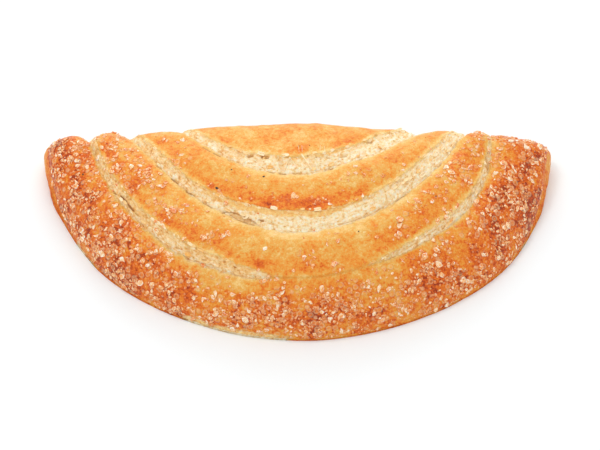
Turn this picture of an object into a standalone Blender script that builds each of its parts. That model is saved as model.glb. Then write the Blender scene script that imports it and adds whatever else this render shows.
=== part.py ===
"""Apple turnover: a folded half-moon of puff pastry with three curved cuts and coarse sugar baked on.

The fold runs along X at the back and the round sealed rim faces -Y. A place on the top is named by two
numbers: its level, which is 0 at the middle of the fold, 1 to 3 on the three cuts and 4 at the rim, and
its angle, which is 0 at the left end of an arc and pi at its right end.
"""

import math
import random

import bmesh
import bpy
from mathutils import Euler, Vector, noise
from mathutils.bvhtree import BVHTree

MM = 0.001

# Arcs across the top, in mm: left end, right end, reach from the fold, roundness and lean to one side.
ARCS = (
    (-22.0, 22.0, 0.0, 2.0, 0.0),
    (-34.5, 35.0, 21.0, 2.1, -0.2),
    (-49.5, 49.5, 42.0, 1.95, -0.05),
    (-61.3, 57.6, 58.4, 1.3, 0.0),
    (-73.7, 74.1, 67.6, 1.02, 0.045),
)
RIM_LEVEL = len(ARCS) - 1

# How much further, as a share, the rim reaches than its even arc, by share of the way along it.
RIM_STRETCH = (
    (0.0, 0.0), (0.12, 0.0), (0.17, 0.02), (0.21, 0.035), (0.26, 0.025), (0.32, 0.012),
    (0.38, -0.004), (0.45, -0.01), (0.52, -0.014), (0.6, -0.022), (0.67, -0.026), (0.73, -0.016),
    (0.77, 0.004), (0.81, 0.03), (0.86, 0.06), (0.92, 0.08), (1.0, 0.08),
)

# How much further, in mm, each cut reaches than its even arc, by share of the way along it.
CUT_STRETCH = (
    ((0.0, 0.0), (0.25, 0.0), (0.33, 0.5), (0.42, 0.4), (0.5, 0.8), (0.56, 1.2), (0.62, 1.1), (0.68, 1.7),
     (0.73, 1.4), (0.8, 0.3), (1.0, 0.0)),
    ((0.0, 0.0), (0.12, 0.6), (0.2, 0.9), (0.27, 1.6), (0.31, 0.8), (0.36, 0.0), (0.42, -0.4), (0.48, 0.0),
     (0.58, 0.6), (0.62, 1.4), (0.66, 2.4), (0.72, 2.8), (0.78, 3.1), (0.83, 2.5), (0.89, 0.5), (1.0, 0.0)),
    ((0.0, 0.0), (0.1, 0.2), (0.17, 0.8), (0.24, 0.3), (0.33, 0.8), (0.38, -0.1), (0.5, 0.0), (0.62, 0.8),
     (0.68, 1.6), (0.73, 2.8), (0.77, 4.2), (0.81, 5.9), (0.85, 7.5), (0.9, 8.6), (0.94, 7.5), (0.97, 4.5),
     (1.0, 0.0)),
)

# Lobes of the fold, in mm: middle, half width and lift, and how far from the fold they reach.
FOLD_LIFTS = (
    (-66.0, 9.0, 2.1), (-42.0, 6.0, -0.5), (-27.0, 6.0, -0.9), (-8.0, 6.0, 0.7), (17.0, 13.0, -0.9),
    (41.0, 5.0, -1.0), (52.0, 8.0, 2.1), (61.0, 6.0, 1.0), (72.0, 5.0, 1.6),
)
FOLD_LIFT_REACH = (4.0, 18.0)

# Height of the risen pastry, in mm.
EDGE_HEIGHT = 2.4
TIP_HEIGHT = 7.6
TIP_SPAN = 0.45
FOLD_HEIGHT = 22.8
FOLD_FALL = 5.5
FOLD_FALL_POWER = 1.2
DOME_LIFT = 4.8
DOME_LIFT_REACH = 26.0
DOME_POWER = 2.5
MIDDLE_FULLNESS = 0.62
LEFT_FULLNESS = 0.42
RIGHT_FULLNESS = 0.55

# The rounded fold, in mm. The top sheet stops at FOLD_STOP of the radius, where it turns down the back.
FOLD_RADIUS_MIDDLE = 10.0
FOLD_RADIUS_END = 5.0
FOLD_RADIUS_SPAN = 80.0
FOLD_STOP = 0.234
FOLD_RADIUS_SHARE = 0.7
TIP_SETBACK = 0.5
TIP_RADIUS = 4.0
HALF_WIDTH = 75.0

# The three cuts: depth in mm, share left at the left and right ends, and where and how far one has closed.
CUTS = (
    (3.2, 0.7, 0.4, 0.0, 0.0),
    (3.6, 1.1, 0.5, 0.0, 0.0),
    (3.0, 1.1, 0.3, 0.58, 0.8),
)
CLOSED_REACH = 0.07
CUT_SHOULDER = 5.5
CUT_FACE = 1.7
CUT_LIP = 7.0
SHOULDER_SHARE = 0.22

# Unevenness of the baked surface, in mm.
SWELL_SIZE = 17.0
SWELL_HEIGHT = 0.9
BUBBLE_SIZE = 6.0
BUBBLE_HEIGHT = 0.3
SWAY_SIZE = 26.0
SWAY = 0.7

# Side profiles from the top sheet down: the fold's as shares of its reach and height, the rim's in mm.
FOLD_PROFILE = ((0.6, 0.84), (0.95, 0.66), (1.0, 0.48), (0.7, 0.26), (-0.2, 0.09), (-1.3, 0.0))
RIM_PROFILE = ((0.5, 2.0), (0.3, 1.7), (0.95, 1.4), (0.75, 0.9), (1.1, 0.6), (0.6, 0.0))
RIM_BLEND = 0.25

# Mesh rows, in mm on either side of a cut, and its columns.
CUT_ROWS = (-5.5, -3.4, -1.7, -1.0, -0.1, 2.2, 4.6, 7.2)
LEDGE = (-1.0, 0.55)
FOLD_ROWS = (0.0, 0.07, 0.18, 0.42)
RIM_ROWS = (3.7, 3.91, 3.965, 4.0)
COLUMNS = 56
COLUMN_CROWDING = 0.13

# Sugar crystals, in mm.
CRYSTALS = 175
CRYSTAL_SIZE = (1.2, 2.2)
CRYSTAL_GAP = 2.6
CRYSTAL_CHIPPING = 0.16
CRYSTAL_SINK = 0.18
CRYSTAL_LEVELS = (0.95, 3.98)
CRYSTAL_DRIFT_SIZE = 11.0
SEED = 11
SLIVER = 0.02


def mix(a, b, share):
    return a + (b - a) * share


def ease(value, start, end):
    """0 before start, 1 after end, and a smooth step between."""
    share = min(1.0, max(0.0, (value - start) / (end - start)))
    return share * share * (3.0 - 2.0 * share)


def bell(value, middle, half_width):
    return math.exp(-(((value - middle) / half_width) ** 2))


def table_at(table, value):
    """The number that a table of pairs gives at a value between its first and last."""
    for (start, low), (end, high) in zip(table, table[1:]):
        if value <= end:
            return mix(low, high, (value - start) / (end - start))
    return table[-1][1]


def arc_at(level):
    """The five numbers of the arc at a level, between those of its named neighbours."""
    inner = min(int(level), RIM_LEVEL - 1)
    return [mix(a, b, level - inner) for a, b in zip(ARCS[inner], ARCS[inner + 1])]


def reach_at(level):
    return arc_at(level)[2]


def fold_radius(x):
    return mix(FOLD_RADIUS_END, FOLD_RADIUS_MIDDLE, math.sqrt(1.0 - (x / FOLD_RADIUS_SPAN) ** 2))


def fold_line(x):
    """How far forward the fold's outermost line lies at x."""
    return -TIP_SETBACK * (abs(x) / HALF_WIDTH) ** 8


def plan(level, angle):
    """Where a place on the top lies, seen from above."""
    left, right, reach, roundness, lean = arc_at(level)
    x = mix(left, right, (1.0 - math.cos(angle)) / 2.0)
    depth = reach * max(0.0, math.sin(angle)) ** roundness * (1.0 - lean * math.cos(angle))
    depth *= 1.0 + table_at(RIM_STRETCH, angle / math.pi) * ease(level, RIM_LEVEL - 1.0, RIM_LEVEL)
    for cut, further in enumerate(CUT_STRETCH, 1):
        depth += table_at(further, angle / math.pi) * max(0.0, 1.0 - abs(level - cut))
    sway = SWAY * noise.noise(Vector((x, depth, 40.0)) / SWAY_SIZE) * math.sin(angle) ** 2
    behind = max(0.0, TIP_RADIUS - FOLD_STOP * fold_radius(x) - depth)
    rounding = (TIP_RADIUS - math.sqrt(TIP_RADIUS**2 - behind**2)) * ease(level, RIM_LEVEL - 1.0, RIM_LEVEL)
    x -= math.copysign(rounding, x)
    return x, fold_line(x) - FOLD_STOP * fold_radius(x) - depth + sway


def dome(level, angle, x, y):
    """Height of the risen pastry with no cuts in it and no turn at the fold."""
    outwards = level / RIM_LEVEL
    middle = math.sin(angle)
    end_fullness = mix(LEFT_FULLNESS, RIGHT_FULLNESS, (1.0 - math.cos(angle)) / 2.0)
    fullness = mix(end_fullness, MIDDLE_FULLNESS, middle**2)
    crest = FOLD_HEIGHT - FOLD_FALL * (abs(x) / HALF_WIDTH) ** FOLD_FALL_POWER
    crest += DOME_LIFT * ease(-y, 0.0, DOME_LIFT_REACH)
    lobes = sum(lift * bell(x, across, half_width) for across, half_width, lift in FOLD_LIFTS)
    crest += lobes * (1.0 - ease(-y, *FOLD_LIFT_REACH))
    edge = EDGE_HEIGHT + TIP_HEIGHT * (1.0 - ease(middle, 0.0, TIP_SPAN)) * ease(level, 0.0, RIM_LEVEL)
    return edge + (crest - edge) * max(0.0, 1.0 - outwards**DOME_POWER) ** fullness


def fold_turn(x, y, height):
    """How far the surface has dropped where it turns over the fold."""
    radius = min(fold_radius(x), FOLD_RADIUS_SHARE * height)
    inwards = min(max(fold_line(x) - y, 0.0) * radius / fold_radius(x), radius)
    return radius - math.sqrt(radius**2 - (radius - inwards) ** 2)


def cut_share(index, angle):
    """How open a cut is at an angle, from 0 to 1."""
    _, left, right, closed_at, closed_by = CUTS[index]
    across = angle / math.pi
    ends = mix(left, right, across)
    share = mix(ends, 1.0, math.sin(angle))
    return share * (1.0 - closed_by * math.exp(-(((across - closed_at) / CLOSED_REACH) ** 2)))


def cut_profile(offset):
    """Depth of a cut as a share, by the distance past its bottom line: a steep face, then a long lip."""
    if offset < -CUT_FACE:
        return SHOULDER_SHARE * ease(offset, -CUT_SHOULDER, -CUT_FACE)
    if offset < 0.0:
        face = (offset + CUT_FACE) / CUT_FACE
        ledge_at, ledge_depth = LEDGE[0] + CUT_FACE, LEDGE[1]
        if offset < LEDGE[0]:
            return mix(SHOULDER_SHARE, ledge_depth, face * CUT_FACE / ledge_at)
        return mix(ledge_depth, 1.0, (offset - LEDGE[0]) / -LEDGE[0])
    return 1.0 - ease(offset, 0.0, CUT_LIP)


def cut_drop(level, angle):
    """How far the cuts lower the top."""
    drop = 0.0
    for index, cut in enumerate(CUTS):
        at = index + 1
        band = reach_at(at) - reach_at(at - 1) if level < at else reach_at(at + 1) - reach_at(at)
        offset = (level - at) * band
        if -CUT_SHOULDER < offset < CUT_LIP:
            drop += cut[0] * cut_share(index, angle) * cut_profile(offset)
    return drop


def unevenness(x, y):
    swell = SWELL_HEIGHT * noise.noise(Vector((x, y, 0.0)) / SWELL_SIZE)
    return swell + BUBBLE_HEIGHT * noise.noise(Vector((x, y, 9.0)) / BUBBLE_SIZE)


def top_point(level, angle):
    x, y = plan(level, angle)
    height = dome(level, angle, x, y)
    body = ease(RIM_LEVEL - level, 0.0, 0.5)
    z = height - fold_turn(x, y, height) + body * (unevenness(x, y) - cut_drop(level, angle))
    return Vector((x, y, z)) * MM


def row_levels():
    """Levels of the mesh rows: close together at the fold, over each cut and at the rim."""
    levels = set(FOLD_ROWS) | set(RIM_ROWS)
    for at in range(1, RIM_LEVEL):
        for offset in CUT_ROWS:
            band = reach_at(at) - reach_at(at - 1) if offset < 0.0 else reach_at(at + 1) - reach_at(at)
            levels.add(at + offset / band)
    return sorted(levels)


def column_angles():
    """Angles of the mesh columns, closer together at both ends of the arcs."""
    shares = [step / COLUMNS for step in range(COLUMNS + 1)]
    return [math.pi * share - COLUMN_CROWDING * math.sin(2.0 * math.pi * share) for share in shares]


def make_top_sheet(mesh):
    """The top, from the fold to the rim, as rows of vertices."""
    angles = column_angles()
    rows = [[mesh.verts.new(top_point(level, angle)) for angle in angles] for level in row_levels()]
    for inner, outer in zip(rows, rows[1:]):
        for column in range(COLUMNS):
            after = column + 1
            mesh.faces.new((inner[column], outer[column], outer[after], inner[after]))
    return rows


def edge_loop(rows):
    """The top sheet's edge, once round: the rim left to right, the fold's right half, middle and left half.
    Each vertex comes with how much of the rim's profile it has."""
    angles = column_angles()
    rim = [(vert, ease(math.sin(angle), 0.0, RIM_BLEND)) for vert, angle in zip(rows[-1], angles)]
    right = [(row[-1], 0.0) for row in reversed(rows[1:-1])]
    middle = [(vert, 0.0) for vert in reversed(rows[0])]
    left = [(row[0], 0.0) for row in rows[1:-1]]
    return rim + right + middle + left


def outward(points, index):
    """The direction away from the pastry at a point of its edge, seen from above."""
    ahead = points[(index + 1) % len(points)] - points[index - 1]
    return Vector((ahead.y, -ahead.x, 0.0)).normalized()


def make_side(mesh, rows):
    """The side below the top sheet: the round back of the fold and the layered rim, to the flat base."""
    loop = edge_loop(rows)
    points = [vert.co.copy() for vert, _ in loop]
    upper = [vert for vert, _ in loop]
    for fold_step, rim_step in zip(FOLD_PROFILE, RIM_PROFILE):
        lower = []
        for index, (point, (_, rim_share)) in enumerate(zip(points, loop)):
            fold_out = fold_step[0] * FOLD_STOP * fold_radius(point.x / MM) * MM
            out = mix(fold_out, rim_step[0] * MM, rim_share)
            z = mix(fold_step[1] * point.z, min(rim_step[1] * MM, point.z), rim_share)
            place = point + outward(points, index) * out
            lower.append(mesh.verts.new((place.x, place.y, z)))
        for index, vert in enumerate(upper):
            after = (index + 1) % len(upper)
            mesh.faces.new((vert, lower[index], lower[after], upper[after]))
        upper = lower
    mesh.faces.new(reversed(upper))


def make_pastry(name, material):
    mesh = bmesh.new()
    make_side(mesh, make_top_sheet(mesh))
    bmesh.ops.triangulate(mesh, faces=mesh.faces)
    bmesh.ops.recalc_face_normals(mesh, faces=mesh.faces)
    data = bpy.data.meshes.new(name)
    mesh.to_mesh(data)
    mesh.free()
    data.materials.append(material)
    pastry = bpy.data.objects.new(name, data)
    bpy.context.scene.collection.objects.link(pastry)
    return pastry


def sugar_liking(level, angle):
    """How readily sugar lies at a place: thickest along the rim and at both ends, least in the cuts."""
    outer = ease(level, 1.2, 3.7)
    ends = 0.5 * (1.0 - math.sin(angle)) * ease(level, 1.5, 3.0)
    in_cut = min(1.0, cut_drop(level, angle) / 1.5)
    return (0.06 + 0.94 * outer + ends) * (1.0 - 0.8 * in_cut)


def sugar_places(rng, tree):
    """Places and outward directions of the crystals, by a seeded draw that keeps them apart."""
    places = []
    while len(places) < CRYSTALS:
        level = CRYSTAL_LEVELS[0] + (CRYSTAL_LEVELS[1] - CRYSTAL_LEVELS[0]) * math.sqrt(rng.random())
        angle = rng.uniform(0.04, math.pi - 0.04)
        drift = 0.75 + 0.9 * noise.noise(top_point(level, angle) / (CRYSTAL_DRIFT_SIZE * MM))
        if rng.random() > sugar_liking(level, angle) * drift:
            continue
        place, normal, _, _ = tree.find_nearest(top_point(level, angle))
        if all((place - other).length > CRYSTAL_GAP * MM for other, _ in places):
            places.append((place, normal))
    return places


def make_crystal(rng, index, place, normal, collection):
    """One chipped block of sugar, sunk a little into the crust."""
    mesh = bmesh.new()
    size = rng.uniform(*CRYSTAL_SIZE) * MM
    bmesh.ops.create_cube(mesh, size=size)
    for vert in mesh.verts:
        vert.co = Vector([c + size * CRYSTAL_CHIPPING * rng.uniform(-1.0, 1.0) for c in vert.co])
    bmesh.ops.triangulate(mesh, faces=mesh.faces)
    bmesh.ops.recalc_face_normals(mesh, faces=mesh.faces)
    data = bpy.data.meshes.new(f"crystal_{index}")
    mesh.to_mesh(data)
    mesh.free()
    crystal = bpy.data.objects.new(f"crystal_{index}", data)
    crystal.rotation_euler = Euler([rng.uniform(0.0, math.tau) for _ in range(3)])
    crystal.location = place - normal * size * CRYSTAL_SINK
    collection.objects.link(crystal)


def fuse_sugar(pastry):
    """Scatters the crystals over the pastry and joins them to it in one union."""
    mesh = bmesh.new()
    mesh.from_mesh(pastry.data)
    tree = BVHTree.FromBMesh(mesh)
    mesh.free()
    rng = random.Random(SEED)
    collection = bpy.data.collections.new("sugar")
    bpy.context.scene.collection.children.link(collection)
    for index, (place, normal) in enumerate(sugar_places(rng, tree)):
        make_crystal(rng, index, place, normal, collection)
    union = pastry.modifiers.new("sugar", "BOOLEAN")
    union.operation = "UNION"
    union.operand_type = "COLLECTION"
    union.collection = collection
    union.solver = "MANIFOLD"
    bpy.context.view_layer.objects.active = pastry
    bpy.ops.object.modifier_apply(modifier=union.name)
    for crystal in list(collection.objects):
        bpy.data.objects.remove(crystal)
    bpy.data.collections.remove(collection)


def islands(mesh):
    """The mesh's separate shells, as lists of faces."""
    left = set(mesh.faces)
    found = []
    while left:
        queue = [left.pop()]
        shell = []
        while queue:
            face = queue.pop()
            shell.append(face)
            near = {other for edge in face.edges for other in edge.link_faces} & left
            left -= near
            queue.extend(near)
        found.append(shell)
    return sorted(found, key=len)


def merge_slivers(mesh):
    """Merges the two ends of each edge too short to matter, where that keeps the surface closed."""
    for edge in list(mesh.edges):
        if not edge.is_valid or edge.calc_length() > SLIVER * MM:
            continue
        near = [{side.other_vert(end) for side in end.link_edges} for end in edge.verts]
        if len(near[0] & near[1]) == 2:
            bmesh.ops.collapse(mesh, edges=[edge])


def keep_one_shell(pastry):
    """Drops loose scraps and sealed hollows that the union left, and stands the pastry on its origin."""
    mesh = bmesh.new()
    mesh.from_mesh(pastry.data)
    bmesh.ops.triangulate(mesh, faces=mesh.faces)
    merge_slivers(mesh)
    for shell in islands(mesh)[:-1]:
        bmesh.ops.delete(mesh, geom=shell, context="FACES")
    low = Vector([min(vert.co[axis] for vert in mesh.verts) for axis in range(3)])
    high = Vector([max(vert.co[axis] for vert in mesh.verts) for axis in range(3)])
    middle = Vector(((low.x + high.x) / 2.0, (low.y + high.y) / 2.0, low.z))
    bmesh.ops.translate(mesh, verts=mesh.verts, vec=-middle)
    mesh.to_mesh(pastry.data)
    mesh.free()


def crust_material():
    material = bpy.data.materials.new("baked_crust")
    material.use_nodes = True
    shader = material.node_tree.nodes["Principled BSDF"]
    shader.inputs["Base Color"].default_value = (0.72, 0.33, 0.09, 1.0)
    shader.inputs["Roughness"].default_value = 0.45
    shader.inputs["Metallic"].default_value = 0.0
    return material


def main():
    for old in list(bpy.data.objects):
        bpy.data.objects.remove(old)
    pastry = make_pastry("turnover", crust_material())
    fuse_sugar(pastry)
    keep_one_shell(pastry)
    pastry.data.shade_smooth()
    pastry.data.set_sharp_from_angle(angle=math.radians(38.0))


main()
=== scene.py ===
"""Apple turnover, dressed: the baked crust with its torn cuts, the dough strands, the flakes and the sugar.

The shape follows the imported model. Its fold runs along X at the back and its round rim faces -Y. A place on
the top is named by its level, 0 at the fold, 1 to 3 on the cuts and 4 at the rim, and by its angle, 0 at the
left end of an arc and pi at its right end. Lengths of the shape are in mm and finished meshes are in metres.
"""

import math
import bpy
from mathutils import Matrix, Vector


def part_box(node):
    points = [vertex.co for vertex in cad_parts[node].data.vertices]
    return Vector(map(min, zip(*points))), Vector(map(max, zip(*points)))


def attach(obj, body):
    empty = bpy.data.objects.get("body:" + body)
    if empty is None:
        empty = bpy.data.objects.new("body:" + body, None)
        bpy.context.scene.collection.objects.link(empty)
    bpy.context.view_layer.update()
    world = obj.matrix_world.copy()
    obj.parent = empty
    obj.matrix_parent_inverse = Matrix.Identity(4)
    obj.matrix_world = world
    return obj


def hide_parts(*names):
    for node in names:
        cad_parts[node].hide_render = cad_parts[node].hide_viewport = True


bl_info = {
    "name": "Apple turnover",
    "version": (1, 0, 0),
    "blender": (4, 5, 0),
    "location": "View3D > Sidebar > Turnover",
    "description": "Dresses a packed apple turnover: crust, strands, flakes, sugar and a plain stage",
    "category": "Object",
}

import bmesh
import bpy
import numpy as np
from mathutils import Euler, Vector, noise

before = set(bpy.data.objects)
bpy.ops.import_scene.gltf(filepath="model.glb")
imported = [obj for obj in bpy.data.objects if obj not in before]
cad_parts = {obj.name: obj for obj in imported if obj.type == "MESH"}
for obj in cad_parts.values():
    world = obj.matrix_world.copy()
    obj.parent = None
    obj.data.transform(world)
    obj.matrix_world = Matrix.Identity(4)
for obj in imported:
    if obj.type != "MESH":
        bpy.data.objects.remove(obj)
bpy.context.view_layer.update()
NODE = "turnover"
BODY = "root"
LOW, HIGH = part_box(NODE)

MM = 0.001
PI = math.pi

# Arcs across the top, in mm: left end, right end, reach from the fold, roundness and lean to one side.
ARCS = np.array((
    (-22.0, 22.0, 0.0, 2.0, 0.0),
    (-34.5, 35.0, 21.0, 2.1, -0.2),
    (-49.5, 49.5, 42.0, 1.95, -0.05),
    (-61.3, 57.6, 58.4, 1.3, 0.0),
    (-74.0, 74.6, 68.3, 1.02, 0.045),
))
RIM_LEVEL = len(ARCS) - 1

# How much further, as a share, the rim reaches than its even arc, by share of the way along it.
RIM_STRETCH = (
    (0.0, 0.0), (0.12, 0.0), (0.17, 0.02), (0.21, 0.035), (0.26, 0.025), (0.32, 0.012), (0.38, -0.004),
    (0.45, -0.01), (0.52, -0.014), (0.6, -0.022), (0.67, -0.026), (0.73, -0.016), (0.77, 0.004), (0.81, 0.03),
    (0.86, 0.06), (0.92, 0.08), (1.0, 0.08),
)

# How much further, in mm, each cut reaches than its even arc, by share of the way along it.
CUT_STRETCH = (
    ((0.0, 0.0), (0.25, 0.0), (0.33, 0.5), (0.42, 0.4), (0.5, 0.8), (0.56, 1.2), (0.62, 1.1), (0.68, 1.7),
     (0.73, 1.4), (0.8, 0.3), (1.0, 0.0)),
    ((0.0, 0.0), (0.12, 0.6), (0.2, 0.9), (0.27, 1.6), (0.31, 0.8), (0.36, 0.0), (0.42, -0.4), (0.48, 0.0),
     (0.58, 0.6), (0.62, 1.4), (0.66, 2.4), (0.72, 2.8), (0.78, 3.1), (0.83, 2.5), (0.89, 0.5), (1.0, 0.0)),
    ((0.0, 0.0), (0.1, 0.2), (0.17, 0.8), (0.24, 0.3), (0.33, 0.8), (0.38, -0.1), (0.5, 0.0), (0.62, 0.8),
     (0.68, 1.6), (0.73, 2.8), (0.77, 4.2), (0.81, 5.9), (0.85, 7.5), (0.9, 8.6), (0.94, 7.5), (0.97, 4.5),
     (1.0, 0.0)),
)

# Lobes of the fold: middle, half width and lift, in mm, and how far from the fold they reach.
FOLD_LIFTS = (
    (-66.0, 9.0, 2.1), (52.0, 8.0, 2.1), (61.0, 6.0, 1.0), (72.0, 5.0, 2.4), (17.0, 13.0, -0.9),
    (-27.0, 6.0, -0.9), (-8.0, 6.0, 0.7), (41.0, 5.0, -1.0), (-42.0, 6.0, -0.5),
)
FOLD_LIFT_REACH = (4.0, 18.0)

# Height of the risen pastry, in mm.
EDGE_HEIGHT = 0.8
TIP_HEIGHT = 9.1
TIP_SPAN = 0.45
FOLD_HEIGHT = 22.8
FOLD_FALL = 5.5
FOLD_FALL_POWER = 1.2
DOME_LIFT = 4.8
DOME_LIFT_REACH = 26.0
DOME_POWER = 2.5
MIDDLE_FULLNESS = 0.62
LEFT_FULLNESS = 0.42
RIGHT_FULLNESS = 0.55

# The rounded fold, in mm.
FOLD_RADIUS_MIDDLE = 10.0
FOLD_RADIUS_END = 5.0
FOLD_RADIUS_SPAN = 80.0
FOLD_STOP = 0.234
FOLD_RADIUS_SHARE = 0.7
FOLD_INSET = 0.15
TIP_SETBACK = 0.5
TIP_SETBACK_POWER = 8
TIP_RADIUS = 2.5
HALF_WIDTH = 75.0
CENTRE_X = -0.19

# Unevenness of the baked surface: height and size in mm, and which noise.
SWELLS = ((0.9, 17.0, 0.0), (0.3, 6.0, 1.5))
BLISTERS = ((0.11, 2.3, 5.0),)
FLAT_EDGE_LEVELS = 0.5

# How far and over what length the cuts sway, in mm, and which noise.
SWAY = 0.7
SWAY_SIZE = 26.0
SWAY_NOISE = 40.0

# Width of the torn dough in each cut, in mm, by the share of the way from its left end to its right end.
CUT_WIDTHS = (
    ((0.0, 1.8), (0.12, 2.0), (0.25, 2.5), (0.33, 3.6), (0.39, 5.0), (0.55, 5.4), (0.66, 4.8), (0.76, 5.2),
     (0.87, 5.0), (1.0, 3.0)),
    ((0.0, 2.4), (0.2, 2.8), (0.3, 3.4), (0.37, 4.2), (0.43, 5.4), (0.5, 6.2), (0.6, 5.4), (0.7, 5.3),
     (0.8, 5.2), (0.88, 4.4), (1.0, 3.0)),
    ((0.0, 1.8), (0.1, 2.4), (0.2, 3.4), (0.3, 4.4), (0.38, 4.4), (0.44, 3.0), (0.48, 0.7), (0.585, 0.6),
     (0.63, 1.1), (0.71, 2.2), (0.79, 3.0), (0.9, 3.0), (1.0, 1.0)),
)

# Widths of the torn dough, in mm, between which a cut opens, and between which it turns into a wide one.
OPENING_WIDTHS = (0.4, 2.4)
WIDE_WIDTHS = (2.0, 5.0)

# The shape across a cut, in mm and in shares of its depth, from its shoulder down its face and up to its lip.
CUT_DEPTH_SHARE = 0.34
CUT_DEPTH_LEAST = 0.45
FACE_ABOVE = 0.55
FACE_LEAST = 0.2
FACE_ROUNDNESS = 0.9
CRUST_STEP = 0.35
CRUST_STEP_SHARE = 0.1
SHOULDER = 3.6
SHOULDER_SHARE = 0.14
SHOULDER_ROUNDNESS = 2.2
FOLD_SHOULDER = 6.5
FOLD_SHOULDER_SHARE = 0.65
FOLD_NOTCH_REACH = 0.35
FOLD_NOTCHES = ((1.8, 2.4), (2.9, 2.2), (2.9, 1.2))
LIP = 6.0
LIP_ROUNDNESS = 2.0
CREASE_DEPTH = 0.12
CREASE_WIDTH = 0.3
CREASED_DEPTHS = (0.9, 2.0)
CRISP_EDGE = 0.3
CRISP_SETBACK = 0.35
CRISP_WIDTH = 0.5

# Unevenness of the dough's upper and lower edge: height and size in mm, and which noise.
UPPER_EDGE = ((0.55, 3.4, 10.0), (0.36, 1.4, 15.0), (0.2, 0.6, 20.0))
LOWER_EDGE = ((0.4, 2.6, 25.0), (0.22, 0.9, 26.0))
LOWER_EDGE_GOLDEN = 2.0
NARROW_ROUGHNESS = 0.6

# How far the torn dough fades in and out round its two edges, in mm: where it is pale and where it is golden.
FADE_ABOVE_UPPER, FADE_BELOW_UPPER = (0.15, 0.5), (0.2, 0.6)
FADE_ABOVE_LOWER, FADE_BELOW_LOWER = (0.1, 0.8), (0.45, 1.3)

# Fibres, crumbs and folds of the dough: height in mm, stretch along and across, size in mm and which noise.
DOUGH_RELIEF = ((0.2, 3.2, 0.45, 1.0, 30.0), (0.28, 1.0, 1.0, 1.2, 40.0), (0.3, 5.0, 1.3, 1.0, 45.0))
GOLDEN_RELIEF = 1.4

# The shade under the upper edge, and the broken brown line at the lower edge, in mm.
PALE_SHADE = 0.5
BROWN_LINE = (0.1, 0.3)
BROWN_LINE_BREAKS = ((1.0, 4.0, 50.0),)
BROWN_LINE_RANGE = (-0.2, 0.3)

# The pale lip below each cut: width in mm at narrow and wide places, its unevenness and its share by cut.
LIP_WIDTHS = (2.4, 4.4)
LIP_START = 0.6
LIP_UNEVENNESS = ((0.9, 7.0, 55.0),)
LIP_SHARES = (1.0, 1.0, 0.55)

# How golden the torn dough of each cut is, by share of the way along.
GOLDEN_DOUGH = (
    ((0.0, 0.7), (0.2, 0.6), (0.32, 0.45), (0.42, 0.1), (1.0, 0.0)),
    ((0.0, 0.9), (0.2, 0.75), (0.3, 0.6), (0.42, 0.3), (0.5, 0.05), (0.75, 0.1), (1.0, 0.3)),
    ((0.0, 0.9), (0.2, 0.85), (0.38, 0.75), (0.5, 0.7), (0.65, 0.55), (0.8, 0.35), (1.0, 0.5)),
)
GOLDEN_ABOVE = (2.0, 0.4)
GOLDEN_BELOW = (0.4, 2.2)

# The golden layer that shows under the crust in each cut: from and to which share, and its width there in mm.
LAYER_STRIPS = ((0.5, 0.62, 0.7), (0.34, 0.56, 2.0), (0.2, 0.4, 0.7))
LAYER_STRIP_FADES = (0.05, 0.06)
LAYER_LEAST = 0.35
LAYER_FULL_SHARE = 0.7

# The photo's frame in pixels, the object's place in it, its scale and the camera's height above the floor.
PHOTO_WIDTH = 600
PHOTO_HEIGHT = 450
OBJECT_LEFT, OBJECT_RIGHT = 44, 551
OBJECT_TOP, OBJECT_BOTTOM = 123, 341
PIXEL = 0.2959
MIDDLE_PIXEL = 298.0
TOP_OF_FOLD = 10.0
CAMERA_HEIGHT = math.radians(50.0)

# How much the crust browned just above each cut, and how far it pales at the very edge, by share of the way.
EDGE_BAKE = (
    ((0.0, 0.2), (0.4, 0.3), (0.6, 0.45), (0.75, 0.2), (1.0, 0.1)),
    ((0.0, 0.4), (0.25, 0.6), (0.36, 1.0), (0.6, 1.0), (0.7, 0.4), (1.0, 0.3)),
    ((0.0, 0.3), (0.2, 0.5), (0.35, 0.8), (0.46, 0.8), (0.55, 0.3), (0.8, 0.4), (1.0, 0.3)),
)
EDGE_PALE = (
    ((0.0, 0.9), (0.35, 0.75), (0.6, 0.7), (1.0, 0.9)),
    ((0.0, 0.85), (0.3, 0.75), (0.38, 0.1), (0.58, 0.1), (0.66, 0.7), (1.0, 0.85)),
    ((0.0, 0.6), (0.3, 0.85), (0.42, 0.6), (0.5, 0.0), (0.6, 0.3), (0.7, 0.95), (1.0, 0.9)),
)
EDGE_BROWN_SETBACK = 1.6
EDGE_BROWN_WIDTH = 2.6
EDGE_PALE_WIDTH = 2.3
EDGE_PALE_END = 0.1
EDGE_PALE_UNEVENNESS = ((0.5, 2.2, 57.0),)

# How far the crust browned, from 0 for raw dough to 1 for the darkest: all over, and more at some places.
BAKE = 0.44
BAKE_AT_ENDS = 0.05
BAKE_AT_RIM = 0.15
BAKE_RIM_LEVELS = (3.0, 3.9)
BAKE_RIM_MIDDLE = 0.4
BAKE_ABOVE_CUTS = 0.17
BAKE_AT_FOLD = 0.16
BAKE_FOLD_LEVELS = 0.045
BAKE_UNEVENNESS = ((0.12, 11.0, 60.0), (0.09, 4.5, 61.0), (0.08, 1.8, 62.0))
BAKE_KNEE = 0.62
BAKE_PAST_KNEE = 0.6
PALE_BAKE = 0.15
PALE_BAKE_SHARE = 0.4
SIDE_BAKE_RIM, SIDE_BAKE_FOLD, SIDE_BAKE_BASE = 0.78, 0.58, 0.72

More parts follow.
